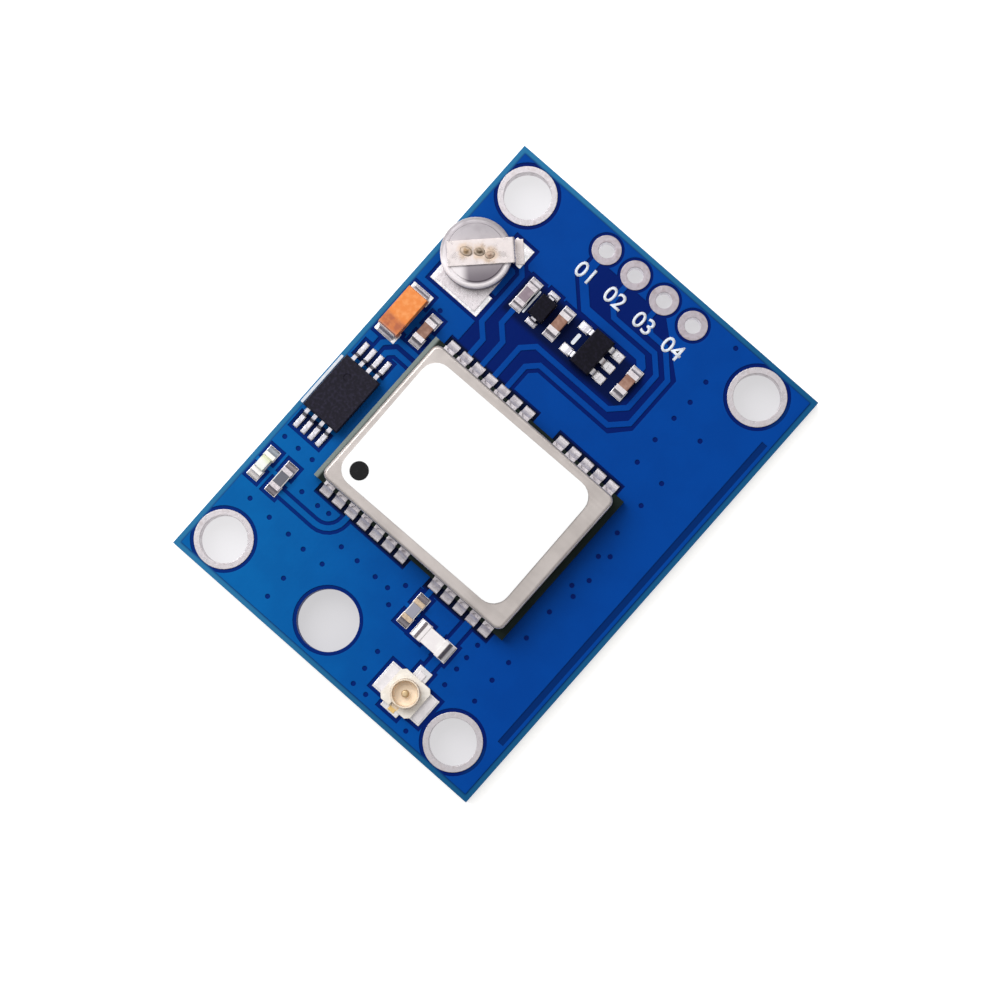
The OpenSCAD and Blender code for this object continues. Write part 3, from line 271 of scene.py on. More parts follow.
# %% [markdown]
# Tin is everywhere on such a board: rings, lands, solder joints, part ends and leads. Reflowed tin is bright but
# never a mirror, because it freezes in small grains. Flat tin returns the bright sky overhead, and every slope returns
# the dim horizon. A formed lead has a bright shoulder, a dark waist and a bright foot: the waist is painted shade, a
# band of height, and so is the dark heel of the solder under it. Leads on the left half of the board, and the solder
# under them, are painted a little greyer, so that those on the right, which slope away from the light and lie in
# their packages' shade, keep a painted brightness.

# %% tin and solder
LEFT_HALF = (-0.7 * MM, -0.2 * MM)
WAIST = (1.85 * MM, 2.26 * MM)


def tin_finish(name, colour, shade, roughness, grain, depth, metallic=1.0, round_edge=0.05 * MM):
    finish = Finish(name, colour, roughness, metallic=metallic)
    grains = finish.noise(grain, 4.0)
    finish.feed("Base Color", finish.blend(finish.ramp(grains, 0.4, 0.75), colour, shade))
    finish.feed("Roughness", finish.ramp(grains, 0.3, 0.7, roughness - 0.08, roughness + 0.12))
    finish.bump(grains, depth, 0.7, finish.edge(round_edge))
    return finish


def painted_light_right(finish, grey):
    # Painted light: leads and solder on the right, which slope away from the light and lie in their packages' shade,
    # keep their bright tone, and those on the left are painted greyer.
    left_parts = finish.ramp(finish.along("X"), *LEFT_HALF, 0.75, 0.0)
    return finish.blend(left_parts, finish.tone(), grey)


solder = tin_finish(
    "bright_solder", screen_colour(252, 250, 252), screen_colour(226, 220, 222), 0.24, 2600, 0.03 * MM, 0.9
)
dress(solder, "solder_lands")
joint_tin = tin_finish(
    "joint_tin", screen_colour(226, 220, 224), screen_colour(190, 182, 187), 0.36, 2600, 0.03 * MM, 0.3
)
dress(joint_tin, "receiver_solder_joints", "castellated_pads")
cushion_tin = tin_finish(
    "cushion_tin", screen_colour(254, 251, 254), screen_colour(230, 224, 228), 0.36, 2600, 0.03 * MM, 0.3
)
tone = painted_light_right(cushion_tin, screen_colour(206, 203, 212))
land_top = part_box("solder_lands")[1][2]
# Painted shade: the high heel of each cushion, under a lead's waist, is painted dark.
heel = cushion_tin.ramp(cushion_tin.along("Z"), land_top + 0.08 * MM, land_top + 0.1 * MM, 0.0, 0.8)
cushion_tin.feed("Base Color", cushion_tin.blend(heel, tone, screen_colour(84, 80, 88)))
print("cushions of solder start at", round(land_top / MM, 2), "mm")
ring_tin = tin_finish(
    "ring_tin", screen_colour(208, 202, 206), screen_colour(186, 178, 180), 0.34, 3200, 0.012 * MM, 0.8
)
dress(ring_tin, "mounting_hole_platings")
header_tin = tin_finish(
    "header_tin", screen_colour(184, 176, 183), screen_colour(160, 149, 153), 0.36, 2400, 0.02 * MM, 0.9
)
# Painted light: below the top of the board the plating is painted white and matt, as if lit through the hole.
painted_hole_light = header_tin.ramp(header_tin.along("Z"), board_high[2] - 0.1 * MM, board_high[2], 1.0, 0.0)
header_tin.feed("Base Color", header_tin.blend(painted_hole_light, header_tin.tone(), screen_colour(250, 248, 252)))
header_tin.feed("Metallic", header_tin.ramp(painted_hole_light, 0.0, 1.0, 0.9, 0.0))
dress(header_tin, "header_hole_platings")
lead_tin = tin_finish(
    "lead_tin", screen_colour(230, 223, 226), screen_colour(200, 192, 195), 0.3, 4200, 0.01 * MM, 0.65, 0.02 * MM
)
dress(lead_tin, "tantalum_terminals", "capacitor_ends", "cell_base_strap")
bent_tin = tin_finish(
    "bent_lead_tin", screen_colour(254, 252, 254), screen_colour(230, 224, 228), 0.26, 4200, 0.01 * MM, 0.65, 0.02 * MM
)
tone = painted_light_right(bent_tin, screen_colour(212, 209, 218))
# Painted shade: the waist of each formed lead is painted dark.
waist = bent_tin.math("MULTIPLY", bent_tin.band("Z", *WAIST, 0.03 * MM), 0.9)
bent_tin.feed("Base Color", bent_tin.blend(waist, tone, screen_colour(72, 68, 74)))
dress(bent_tin, "memory_leads", "regulator_leads", "diode_leads")

# %% [markdown]
# Solder climbs the ends of a chip in a hollow curve. Its foot lies flat and bright, and the steep part above is painted
# dark: a painted reflection of the dark side of the chip. Height above the land tells the two apart. The joints of the
# inductor are broader, so theirs is a band along X. The joints of two resistors near the lower edge and one of the
# lamp's are duller. The joints are one node, so pairs of places, between which one tone gives way to the next, tell
# these parts apart.

# %% solder at the ends of chips
EDGE_ROW = (-8.3 * MM, -8.1 * MM)
LAMP_SIDE = (-11.3 * MM, -11.2 * MM)
LAMP_FAR_END = (-9.8 * MM, -9.6 * MM)
INDUCTOR_SIDE = (2.5 * MM, 2.6 * MM)
end_low, end_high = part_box("inductor_ends")
chip_tin = tin_finish(
    "chip_joint_tin", screen_colour(234, 228, 232), screen_colour(198, 190, 195), 0.36, 2600, 0.03 * MM, 0.3
)
# Painted reflection: the steep part of each joint is painted dark.
climb_shade = chip_tin.ramp(chip_tin.along("Z"), land_top + 0.06 * MM, land_top + 0.12 * MM, 0.0, 0.75)
tone = chip_tin.blend(climb_shade, chip_tin.tone(), screen_colour(108, 102, 108))
near_edge = chip_tin.ramp(chip_tin.along("Y"), *EDGE_ROW, 1.0, 0.0)
between = chip_tin.band("X", LAMP_SIDE[1], INDUCTOR_SIDE[0], 0.05 * MM)
dull = chip_tin.math("MULTIPLY", near_edge, between)
tone = chip_tin.blend(dull, tone, screen_colour(142, 134, 140))
# The same painted reflection on the inductor's joints goes by place: bright within the band round its ends, dark beyond
# it.
at_inductor = chip_tin.math("MULTIPLY", near_edge, chip_tin.ramp(chip_tin.along("X"), *INDUCTOR_SIDE))
inner = chip_tin.band("X", end_low[0] - 0.2 * MM, end_high[0] + 0.2 * MM, 0.05 * MM)
climb_tone = chip_tin.blend(inner, screen_colour(246, 242, 244), screen_colour(128, 120, 124))
tone = chip_tin.blend(at_inductor, tone, climb_tone)
at_lamp = chip_tin.math("MULTIPLY", near_edge, chip_tin.ramp(chip_tin.along("X"), *LAMP_SIDE, 1.0, 0.0))
lamp_far = chip_tin.ramp(chip_tin.along("Y"), *LAMP_FAR_END)
lamp_tone = chip_tin.blend(lamp_far, screen_colour(226, 221, 219), screen_colour(160, 166, 174))
chip_tin.feed("Base Color", chip_tin.blend(at_lamp, tone, lamp_tone))
dress(chip_tin, "chip_solder_joints")
lamp_tin = tin_finish(
    "lamp_tin", screen_colour(252, 249, 245), screen_colour(238, 234, 230), 0.36, 2600, 0.02 * MM, 0.15
)
dress(lamp_tin, "lamp_ends")
print("solder climbs from", round(land_top / MM, 2), "mm")

# %% [markdown]
# The receiver stands on its own small green board and wears a can of thin nickel silver. Rolled sheet keeps fine
# lines from the mill, here along the can's long side, and its satin skin has faint clouds. The label is matt paper.
# Towards the light, a strip of the green board is painted bright: a painted highlight.

# %% receiver board, can and label
BRIGHT_STRIP = (-8.7 * MM, -8.5 * MM)
green = Finish("green_mask", screen_colour(20, 40, 30), 0.4, specular=0.1)
# Painted highlight: the strip of the green board on the side of the light is painted bright.
lit_edge = green.ramp(green.along("X"), *BRIGHT_STRIP, 1.0, 0.0)
dark_green = green.blend(green.noise(900), screen_colour(8, 16, 14), screen_colour(28, 42, 36))
green.feed("Base Color", green.blend(lit_edge, dark_green, screen_colour(128, 138, 134)))
green.bump(weave_height(green), WEAVE_DEPTH, 0.5)
dress(green, "receiver_board")

can = Finish("satin_can", screen_colour(214, 206, 200), 0.4, metallic=0.7)
mill = can.noise(5200, 3.0, (0.06, 1.0, 1.0))
cloud = can.ramp(can.noise(600, 3.0), 0.3, 0.7)
can.feed("Base Color", can.blend(cloud, screen_colour(196, 188, 184), screen_colour(183, 175, 171)))
can.feed("Roughness", can.ramp(mill, 0.3, 0.7, 0.34, 0.46))
can.bump(mill, 0.004 * MM, 0.4)
dress(can, "shield_can")

paper = Finish("label_paper", screen_colour(250, 250, 250), 0.7, specular=0.25)
fibre = paper.noise(3800, 5.0)
paper.feed("Base Color", paper.blend(fibre, screen_colour(252, 252, 252), screen_colour(255, 255, 255)))
paper.bump(fibre, 0.004 * MM, 0.5, paper.edge(0.06 * MM))
dress(paper, "receiver_label")

ink = Finish("black_ink", screen_colour(16, 16, 16), 0.55, specular=0.2)
speck = ink.noise(6000, 4.0)
ink.feed("Base Color", ink.blend(ink.ramp(speck, 0.55, 0.75), screen_colour(10, 9, 12), screen_colour(34, 34, 36)))
ink.bump(speck, 0.003 * MM, 0.4)
dress(ink, "first_pad_dot")

# %% [markdown]
# Moulded packages are black epoxy filled with glass powder: nearly matt, with a fine sparkle and slightly polished
# edges. The ceramic parts are fired clay bodies, brown, grey or white, and matt as well.

# %% moulded and ceramic bodies


def moulding(name, colour, grey, roughness, grain=5200, depth=0.012 * MM, round_edge=0.07 * MM, specular=0.3):
    finish = Finish(name, colour, roughness, specular=specular)
    powder = finish.noise(grain, 4.0)
    finish.feed("Base Color", finish.blend(finish.ramp(powder, 0.4, 0.75), colour, grey))
    finish.feed("Roughness", finish.ramp(powder, 0.3, 0.7, roughness - 0.07, roughness + 0.1))
    finish.bump(powder, depth, 0.6, finish.edge(round_edge))
    return finish


epoxy = moulding("black_epoxy", screen_colour(22, 19, 32), screen_colour(42, 39, 56), 0.5, specular=0.14)
dress(epoxy, "memory_body", "receiver_chip")
deep_epoxy = moulding("deep_black_epoxy", screen_colour(10, 8, 20), screen_colour(26, 23, 38), 0.5, specular=0.1)
dress(deep_epoxy, "regulator_body", "diode_body")
brown = moulding("brown_ceramic", screen_colour(142, 102, 86), screen_colour(172, 134, 118), 0.5, 3000)
dress(brown, "capacitor_bodies")
white = moulding("white_ceramic", screen_colour(240, 236, 230), screen_colour(252, 250, 246), 0.45, 2500)
dress(white, "resistor_cores", "band_filter")
dark = moulding("dark_ceramic", screen_colour(60, 58, 62), screen_colour(84, 82, 86), 0.5, 3000)
dress(dark, "clock_oscillator")

# %% [markdown]
# A chip resistor is a white ceramic slip whose film is sealed under a glass coat. The three on this board come from
# three reels: one coat is pinkish, one is light grey and one is nearly black. One material tells them apart by place,
# because the three coats are one node. The light one also has ends of bare nickel, which look bronze.

# %% resistor coats and ends
MIDDLE = (-1 * MM, 1 * MM)
BETWEEN_NEAR_PAIR = (-6 * MM, -4 * MM)
coat = moulding("glass_coat", screen_colour(146, 130, 140), screen_colour(166, 150, 158), 0.3, 2200)
far_row = coat.ramp(coat.along("Y"), *MIDDLE)
beside_lamp = coat.ramp(coat.along("X"), *BETWEEN_NEAR_PAIR, 1.0, 0.0)
near_pair = coat.blend(beside_lamp, screen_colour(156, 155, 168), screen_colour(104, 104, 114))
coat.feed("Base Color", coat.blend(far_row, near_pair, coat.tone()))
dress(coat, "resistor_coats")
slip_end = tin_finish(
    "resistor_end", screen_colour(222, 214, 218), screen_colour(188, 179, 183), 0.28, 4200, 0.012 * MM, 0.9
)
near_side = slip_end.ramp(slip_end.along("Y"), *MIDDLE, 1.0, 0.0)
bare_nickel = slip_end.math("MULTIPLY", near_side, slip_end.ramp(slip_end.along("X"), *MIDDLE))
slip_end.feed("Base Color", slip_end.blend(bare_nickel, slip_end.tone(), screen_colour(214, 190, 164)))
dress(slip_end, "resistor_ends")

# %% [markdown]
# The chip inductor is a white ceramic bobbin with broad white fired ends. Only the outermost lip of each end is
# painted dark on top, as the solder beside it is: a painted reflection of dark surroundings. The lips are two bands
# along X, measured from the ends' own box.

# %% chip inductor
glaze = moulding("white_glaze", screen_colour(240, 234, 234), screen_colour(248, 244, 242), 0.35, 2500)
dress(glaze, "inductor_body")
fired = moulding("fired_end", screen_colour(238, 232, 232), screen_colour(248, 244, 242), 0.35, 2500)
LIP = 0.06 * MM
near_lip = fired.band("X", end_low[0] - LIP, end_low[0] + LIP, 0.04 * MM)
far_lip = fired.band("X", end_high[0] - LIP, end_high[0] + LIP, 0.04 * MM)
lips = fired.math("ADD", near_lip, far_lip)
on_top = fired.ramp(fired.along("Z"), end_high[2] - 0.25 * MM, end_high[2] - 0.15 * MM)
lips = fired.math("MULTIPLY", lips, on_top)
# Painted reflection: the top of each outermost lip is painted dark.
fired.feed("Base Color", fired.blend(lips, fired.tone(), screen_colour(98, 90, 92)))
dress(fired, "inductor_ends")
print("inductor ends mm", [round(v / MM, 2) for v in list(end_low) + list(end_high)])

# %% [markdown]
# The tantalum capacitor is moulded in orange epoxy, and a red-brown bar printed across its lower end marks its
# polarity. The bar is part of the finish: it runs along Y from the end of the body's own box, with patches of wear,
# and a paler lip at the very end that is a painted highlight.

# %% tantalum capacitor
bar_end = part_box("tantalum_body")[0][1]
tantalum = moulding("orange_epoxy", screen_colour(236, 136, 62), screen_colour(246, 160, 92), 0.45, 3000)
bar = tantalum.ramp(tantalum.along("Y"), bar_end + 0.8 * MM, bar_end + 1.15 * MM, 1.0, 0.0)
wear_and_highlight = tantalum.ramp(tantalum.noise(2600, 5.0), 0.32, 0.6, 0.95, 0.55)
bar = tantalum.math("MULTIPLY", bar, wear_and_highlight)
# Painted highlight: the bar is paler at the very end of the body.
end_highlight = tantalum.ramp(tantalum.along("Y"), bar_end, bar_end + 0.25 * MM, 0.5, 0.0)
bar_tone = tantalum.blend(end_highlight, screen_colour(178, 98, 66), screen_colour(220, 176, 160))
tantalum.feed("Base Color", tantalum.blend(bar, tantalum.tone(), bar_tone))
dress(tantalum, "tantalum_body")

# %% [markdown]
# The backup cell is a pressed steel can, slightly crowned, under a polished strap with three welds, whose heat tints
# the strap round them. A crown tilts the steel a few degrees towards its edge, so one side of the disc returns bright
# sky and the other side dim sky. A bump that falls with the square of the distance from the cell's axis gives that
# without touching the solid. The steel also carries painted shade: a ramp across the strap darkens it part way on
# the near side and almost fully on the far side, away from the light. The rolled shoulder on the far side, and the
# end of it by the board's edge, are painted paler and less metallic: a painted highlight.

# %% backup cell
DIAGONAL = 0.707  # share of X and of Y in a direction at half a right angle
CELL_R = 2.4 * MM
cell_low, cell_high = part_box("cell_can")
cell_x = (cell_low[0] + cell_high[0]) / 2
cell_y = (cell_low[1] + cell_high[1]) / 2
steel = tin_finish(
    "cell_steel", screen_colour(188, 181, 184), screen_colour(176, 168, 172), 0.4, 1500, 0.004 * MM, metallic=0.35
)
across_strap = steel.math("SUBTRACT", steel.slant(DIAGONAL, -DIAGONAL), DIAGONAL * (cell_x - cell_y))
near_side = steel.ramp(across_strap, -1.6 * MM, -0.4 * MM, 0.5, 0.0)
far_side = steel.ramp(across_strap, -0.6 * MM, 2.2 * MM, 0.0, 0.9)
from_centre = steel.from_axis(cell_x, cell_y)
along_strap = steel.math("SUBTRACT", steel.slant(DIAGONAL, DIAGONAL), DIAGONAL * (cell_x + cell_y))
# Painted highlight: the rolled shoulder on the far side of the strap, and its end by the board's edge, are painted
# paler and less metallic.
shoulder = steel.ramp(from_centre, 1.98 * MM, 2.18 * MM)
board_end = steel.ramp(along_strap, -1.2 * MM, -0.5 * MM, 0.8, 0.0)
above_wall = steel.ramp(steel.along("Z"), cell_high[2] - 0.48 * MM, cell_high[2] - 0.28 * MM)
wear_and_highlight = steel.math("MULTIPLY", steel.math("MAXIMUM", shoulder, board_end), above_wall)
wear_and_highlight = steel.math("MULTIPLY", wear_and_highlight, steel.ramp(across_strap, -0.6 * MM, 0.6 * MM))
# Painted shade: the steel is darkened part way on the near side of the strap and almost fully on the far side, away
# from the light.
tone = steel.blend(near_side, steel.tone(), screen_colour(150, 145, 151))
tone = steel.blend(far_side, tone, screen_colour(98, 89, 99))
steel.feed("Base Color", steel.blend(wear_and_highlight, tone, screen_colour(254, 247, 249)))
steel.feed("Metallic", steel.ramp(wear_and_highlight, 0.0, 1.0, 0.35, 0.0))
crown = steel.math("POWER", steel.math("DIVIDE", from_centre, CELL_R), 2.0)
steel.bump(steel.math("MULTIPLY", crown, -1.0), 0.09 * MM, 1.0)
dress(steel, "cell_can")
strap = tin_finish("polished_strap", screen_colour(222, 213, 212), screen_colour(206, 196, 194), 0.3, 1500, 0.004 * MM)
# Each weld's name, place in mm, stretch along and across, turn, and colour at its middle
weld_places = (
    ("dark_weld", -10.4, 10.22, 1.15, 0.85, 0.6, screen_colour(118, 100, 80)),
    ("red_weld", -9.74, 10.52, 1.0, 0.75, 0.9, screen_colour(188, 158, 138)),
    ("tan_weld", -11.08, 9.66, 1.3, 0.9, 0.3, screen_colour(180, 150, 116)),
)
tint = 0.0
for _, x, y, *_ in weld_places:
    distance = strap.from_axis(x * MM, y * MM)
    reach = strap.math("ADD", distance, strap.ramp(strap.noise(2600, 3.0), 0.3, 0.7, 0.0, 0.2 * MM))
    tint = strap.math("MAXIMUM", tint, strap.ramp(reach, 0.35 * MM, 0.85 * MM, 0.9, 0.0))
strap.feed("Base Color", strap.blend(tint, strap.tone(), screen_colour(206, 182, 160)))
dress(strap, "cell_top_strap")

# %% [markdown]
# The antenna socket has a cream base and a rolled brass ring. Inside the ring the moulding is painted warm: a
# painted reflection of the plating's colour. Away from the ring the plate is tinned for soldering, apart from the tail
# on the near side, where the gilding was left bare and tints the moulding over it. Each finish finds its place by its
# distance from the axis.

# %% antenna socket
socket_low, socket_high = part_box("socket_base")
socket_x = (socket_low[0] + socket_high[0]) / 2
socket_y = (socket_low[1] + socket_high[1]) / 2
cream = moulding("cream_moulding", screen_colour(238, 231, 221), screen_colour(248, 243, 236), 0.42, 2600)
# Painted reflection: inside the ring the moulding is painted with the warm colour of the plating.
well = cream.ramp(cream.from_axis(socket_x, socket_y), 0.9 * MM, 1.0 * MM, 1.0, 0.0)
tone = cream.blend(well, cream.tone(), screen_colour(255, 238, 214))
tail_x = cream.band("X", socket_x - 0.25 * MM, socket_x + 0.3 * MM, 0.05 * MM)
tail_y = cream.ramp(cream.along("Y"), socket_y - 0.95 * MM, socket_y - 0.85 * MM, 1.0, 0.0)
cream.feed("Base Color", cream.blend(cream.math("MULTIPLY", tail_x, tail_y), tone, screen_colour(236, 204, 148)))
dress(cream, "socket_base")

TINNED = screen_colour(230, 225, 227)
warm = tin_finish("warm_plating", screen_colour(240, 222, 200), screen_colour(224, 202, 176), 0.4, 2600, 0.01 * MM, 0.4)
outside = warm.ramp(warm.from_axis(socket_x, socket_y), 1.2 * MM, 1.3 * MM)
near_tail = warm.ramp(warm.along("Y"), socket_y - 1.25 * MM, socket_y - 1.1 * MM, 1.0, 0.0)
tabs = warm.blend(near_tail, TINNED, screen_colour(238, 200, 128))
warm.feed("Base Color", warm.blend(outside, warm.tone(), tabs))
dress(warm, "socket_ring")
gold = tin_finish("gold_plating", screen_colour(240, 204, 130), screen_colour(220, 176, 96), 0.26, 2600, 0.01 * MM)
dress(gold, "oscillator_lid")
tipped = tin_finish("gilt_pin", screen_colour(214, 188, 148), screen_colour(194, 164, 120), 0.42, 2600, 0.01 * MM, 0.6)
past_ring = tipped.ramp(tipped.from_axis(socket_x, socket_y), 1.0 * MM, 1.1 * MM)
tipped.feed("Base Color", tipped.blend(past_ring, tipped.tone(), TINNED))
dress(tipped, "socket_pin")

# %% [markdown]
# The status lamp is a clear casting on a white base. The light of the board shines through it, so it looks white, with
# a tinge of yellow green at the end where its chip sits.

# %% status lamp
lamp_low, lamp_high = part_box("lamp_lens")
lamp_white = moulding("lamp_white", screen_colour(240, 240, 234), screen_colour(250, 250, 246), 0.45, 2600)
dress(lamp_white, "lamp_base")
lens = moulding("lamp_lens", screen_colour(238, 242, 232), screen_colour(250, 250, 246), 0.2, 1800, 0.01 * MM)
tinge = lens.ramp(lens.along("Y"), lamp_low[1] + 0.5 * MM, lamp_high[1], 0.0, 0.7)
lens.feed("Base Color", lens.blend(tinge, lens.tone(), screen_colour(226, 232, 168)))
lens.set("Subsurface Weight", 0.3)
lens.set("Subsurface Radius", (0.0004, 0.0004, 0.0003))
dress(lens, "lamp_lens")

# %% [markdown]
# What is left is too fine for the solids: printed ink, weld marks and the solder drawn up round the leads. Each piece
# starts as a primitive and is shaped in edit mode. Operators act on what is selected, so one helper selects faces or
# edges by a test, one adds a block between two corners, and one gives a finished piece its name, finish and body.

# %% helpers for modelling


def pick(piece, kind, test):
    """Select the faces or edges of a piece that pass a test, and stay in edit mode."""
    bpy.ops.object.mode_set(mode="EDIT")
    bpy.ops.mesh.select_mode(type="FACE" if kind == "polygons" else "EDGE")
    bpy.ops.mesh.select_all(action="DESELECT")
    bpy.ops.object.mode_set(mode="OBJECT")
    for part in getattr(piece.data, kind):
        part.select = test(part)
    bpy.ops.object.mode_set(mode="EDIT")


def edge_ends(piece, edge):
    return [piece.data.vertices[index].co for index in edge.vertices]


def add_block(low, high):
    """A box between two corners, alone in the selection, with its place in its mesh."""
    bpy.ops.object.select_all(action="DESELECT")
    centre = [(a + b) / 2 for a, b in zip(low, high)]
    size = [b - a for a, b in zip(low, high)]
    bpy.ops.mesh.primitive_cube_add(size=1, location=centre, scale=size)
    bpy.ops.object.transform_apply(location=True, rotation=True, scale=True)
    return bpy.context.object


def choose(*pieces):
    bpy.ops.object.select_all(action="DESELECT")
    for piece in pieces:
        piece.select_set(True)
    bpy.context.view_layer.objects.active = pieces[0]


def keep(piece, name, finish):
    piece.name = name
    piece.data.name = name
    piece.data.materials.clear()
    piece.data.materials.append(finish.material)
    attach(piece, "root")
    print(name, "made with", len(piece.data.polygons), "faces")


# %% [markdown]
# White ink is screen printed on the mask. The four header holes carry plain pin numbers, and a line, a dash and a bar
# mark how three of the parts are turned. Ink lies on laminate and on copper alike, so its solid starts at the laminate
# and ends a little above the copper. Each number starts as text, becomes a mesh, is brought to its height, and gets
# its thickness from a Solidify modifier.

# %% pin numbers
PINS = 4
NUMBER_HEIGHT = 1.15 * MM
NUMBER_DROP = 1.1 * MM  # from the rings to the middle of the numbers
STROKE = 0.012  # by which the outline of the digits is fattened, as a share of the text size
ink_low = board_high[2]
ink_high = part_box("masked_copper")[1][2] + 0.02 * MM
white_ink = moulding(
    "white_ink", screen_colour(226, 232, 242), screen_colour(244, 246, 250), 0.6, 5200, 0.006 * MM, 0.02 * MM
)
header_low, header_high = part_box("header_hole_platings")
ring_r = (header_high[1] - header_low[1]) / 2
pin_pitch = (header_high[0] - header_low[0] - 2 * ring_r) / (PINS - 1)


def printed_number(digits, x, y):
    bpy.ops.object.select_all(action="DESELECT")
    bpy.ops.object.text_add(location=(0, 0, 0))
    number = bpy.context.object
    number.data.body = digits
    number.data.align_x = "CENTER"
    number.data.align_y = "CENTER"
    number.data.offset = STROKE
    number.data.resolution_u = 6
    bpy.ops.object.convert(target="MESH")
    scale = NUMBER_HEIGHT / number.dimensions.y
    number.scale = (scale, scale, scale)
    number.location = (x, y, ink_high)
    bpy.ops.object.transform_apply(location=True, rotation=True, scale=True)
    solid = number.modifiers.new("ink", "SOLIDIFY")
    solid.thickness = ink_high - ink_low
    solid.offset = -1.0
    bpy.ops.object.modifier_apply(modifier="ink")
    return number


for pin in range(PINS):
    ring_x = header_low[0] + ring_r + pin * pin_pitch
    number = printed_number(f"0{pin + 1}", ring_x, header_low[1] - NUMBER_DROP)
    keep(number, f"pin_number_{pin + 1}", white_ink)

# %% printed lines


def printed_bar(name, x, y, width, length):
    low = (x - width / 2, y - length / 2, ink_low)
    high = (x + width / 2, y + length / 2, ink_high)
    bar = add_block(low, high)

    def upright(edge):
        first, second = edge_ends(bar, edge)
        return abs(first.z - second.z) > 0.01 * MM

    pick(bar, "edges", upright)
    bpy.ops.mesh.bevel(offset=width * 0.4, segments=5, affect="EDGES")
    bpy.ops.object.mode_set(mode="OBJECT")
    keep(bar, name, white_ink)


printed_bar("memory_line", -12.8 * MM, -2.92 * MM, 0.2 * MM, 4.15 * MM)
printed_bar("diode_line", -5.72 * MM, 10.12 * MM, 0.14 * MM, 1.85 * MM)
printed_bar("regulator_bar", -1.87 * MM, 10.2 * MM, 0.27 * MM, 0.87 * MM)

# %% [markdown]
# Three resistance welds hold the strap to the cell. Each is a shallow crater with a raised lip, browned by heat. It is
# modelled once from a thin cylinder, by insetting its top and moving it up to a lip and down to a floor, then copied
# and stretched, because no two welds come out alike.

# %% weld marks
strap_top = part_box("cell_top_strap")[1][2]
WELD_R = 0.34 * MM
# Insets from the rim inwards, as shares of the radius, each with its rise in mm
WELD_STEPS = ((0.2, 0.005), (0.18, 0.002), (0.2, -0.006), (0.2, -0.004))


def burnt_finish(name, x, y, core):
    """Heat colour that is deep at a weld's middle and fades into the strap's steel at its rim."""
    burnt = tin_finish(name, screen_colour(212, 192, 174), screen_colour(200, 178, 158), 0.6, 5200, 0.006 * MM, 0.15)
    spread = burnt.ramp(burnt.noise(4200, 3.0), 0.3, 0.7, -0.12 * MM, 0.12 * MM)
    reach = burnt.math("ADD", burnt.from_axis(x, y), spread)
    burnt.feed("Base Color", burnt.blend(burnt.ramp(reach, 0.05 * MM, 0.36 * MM, 1.0, 0.0), burnt.tone(), core))
    return burnt


def weld_mark():
    bpy.ops.object.select_all(action="DESELECT")
    bpy.ops.mesh.primitive_cylinder_add(vertices=24, radius=WELD_R, depth=0.01 * MM, location=(0, 0, 0))
    weld = bpy.context.object
    pick(weld, "polygons", lambda face: face.normal.z > 0.9)
    for step, rise in WELD_STEPS:
        bpy.ops.mesh.inset(thickness=step * WELD_R)
        bpy.ops.transform.translate(value=(0, 0, rise * MM))
    bpy.ops.object.mode_set(mode="OBJECT")
    bpy.ops.object.shade_smooth()
    return weld


first_weld = weld_mark()
welds = [first_weld]
for _ in weld_places[1:]:
    choose(first_weld)
    bpy.ops.object.duplicate()
    welds.append(bpy.context.object)
for weld, (name, x, y, long_side, short_side, turn, core) in zip(welds, weld_places):
    choose(weld)
    weld.scale = (long_side, short_side, 1.0)
    weld.rotation_euler = (0, 0, turn)
    weld.location = (x * MM, y * MM, strap_top)
    bpy.ops.object.transform_apply(location=True, rotation=True, scale=True)
    keep(weld, name, burnt_finish(name, x * MM, y * MM, core))

# %% [markdown]
# Solder wets a lead and its land, and freezes as a low cushion that is high at the heel and thin at the toe. The lands
# and leads are measured on merged copies of the nodes, which are thrown away again. One cushion is made for each kind
# of lead, and copied to the other leads with a shift or a half turn.

# %% measure lands and leads


def loose_boxes(node):
    """Lowest and highest corners of each separate solid in a node."""
    spare = solids[node].copy()
    spare.data = solids[node].data.copy()
    bpy.context.collection.objects.link(spare)
    choose(spare)
    bpy.ops.object.mode_set(mode="EDIT")
    bpy.ops.mesh.select_all(action="SELECT")
    bpy.ops.mesh.remove_doubles(threshold=0.001 * MM)
    bpy.ops.mesh.separate(type="LOOSE")
    bpy.ops.object.mode_set(mode="OBJECT")
    boxes = []
    for part in list(bpy.context.selected_objects):
        points = [corner.co for corner in part.data.vertices]
        low = Vector([min(point[axis] for point in points) for axis in range(3)])
        high = Vector([max(point[axis] for point in points) for axis in range(3)])
        boxes.append((low, high))
        bpy.data.objects.remove(part)
    return boxes


def overlap(first, second):
    return all(first[0][axis] < second[1][axis] and second[0][axis] < first[1][axis] for axis in range(2))


lands = loose_boxes("solder_lands")
feet = {name: loose_boxes(name) for name in ("memory_leads", "regulator_leads", "diode_leads")}
print(len(lands), "lands,", {name: len(boxes) for name, boxes in feet.items()}, "leads")

# %% solder cushions
TRIM = 0.02 * MM  # by which a cushion keeps inside its land
HEEL_RISE = 0.11 * MM
TOE_DROP = 0.08 * MM
ROUNDING = 0.05 * MM
HALF_TURN = 3.14159265


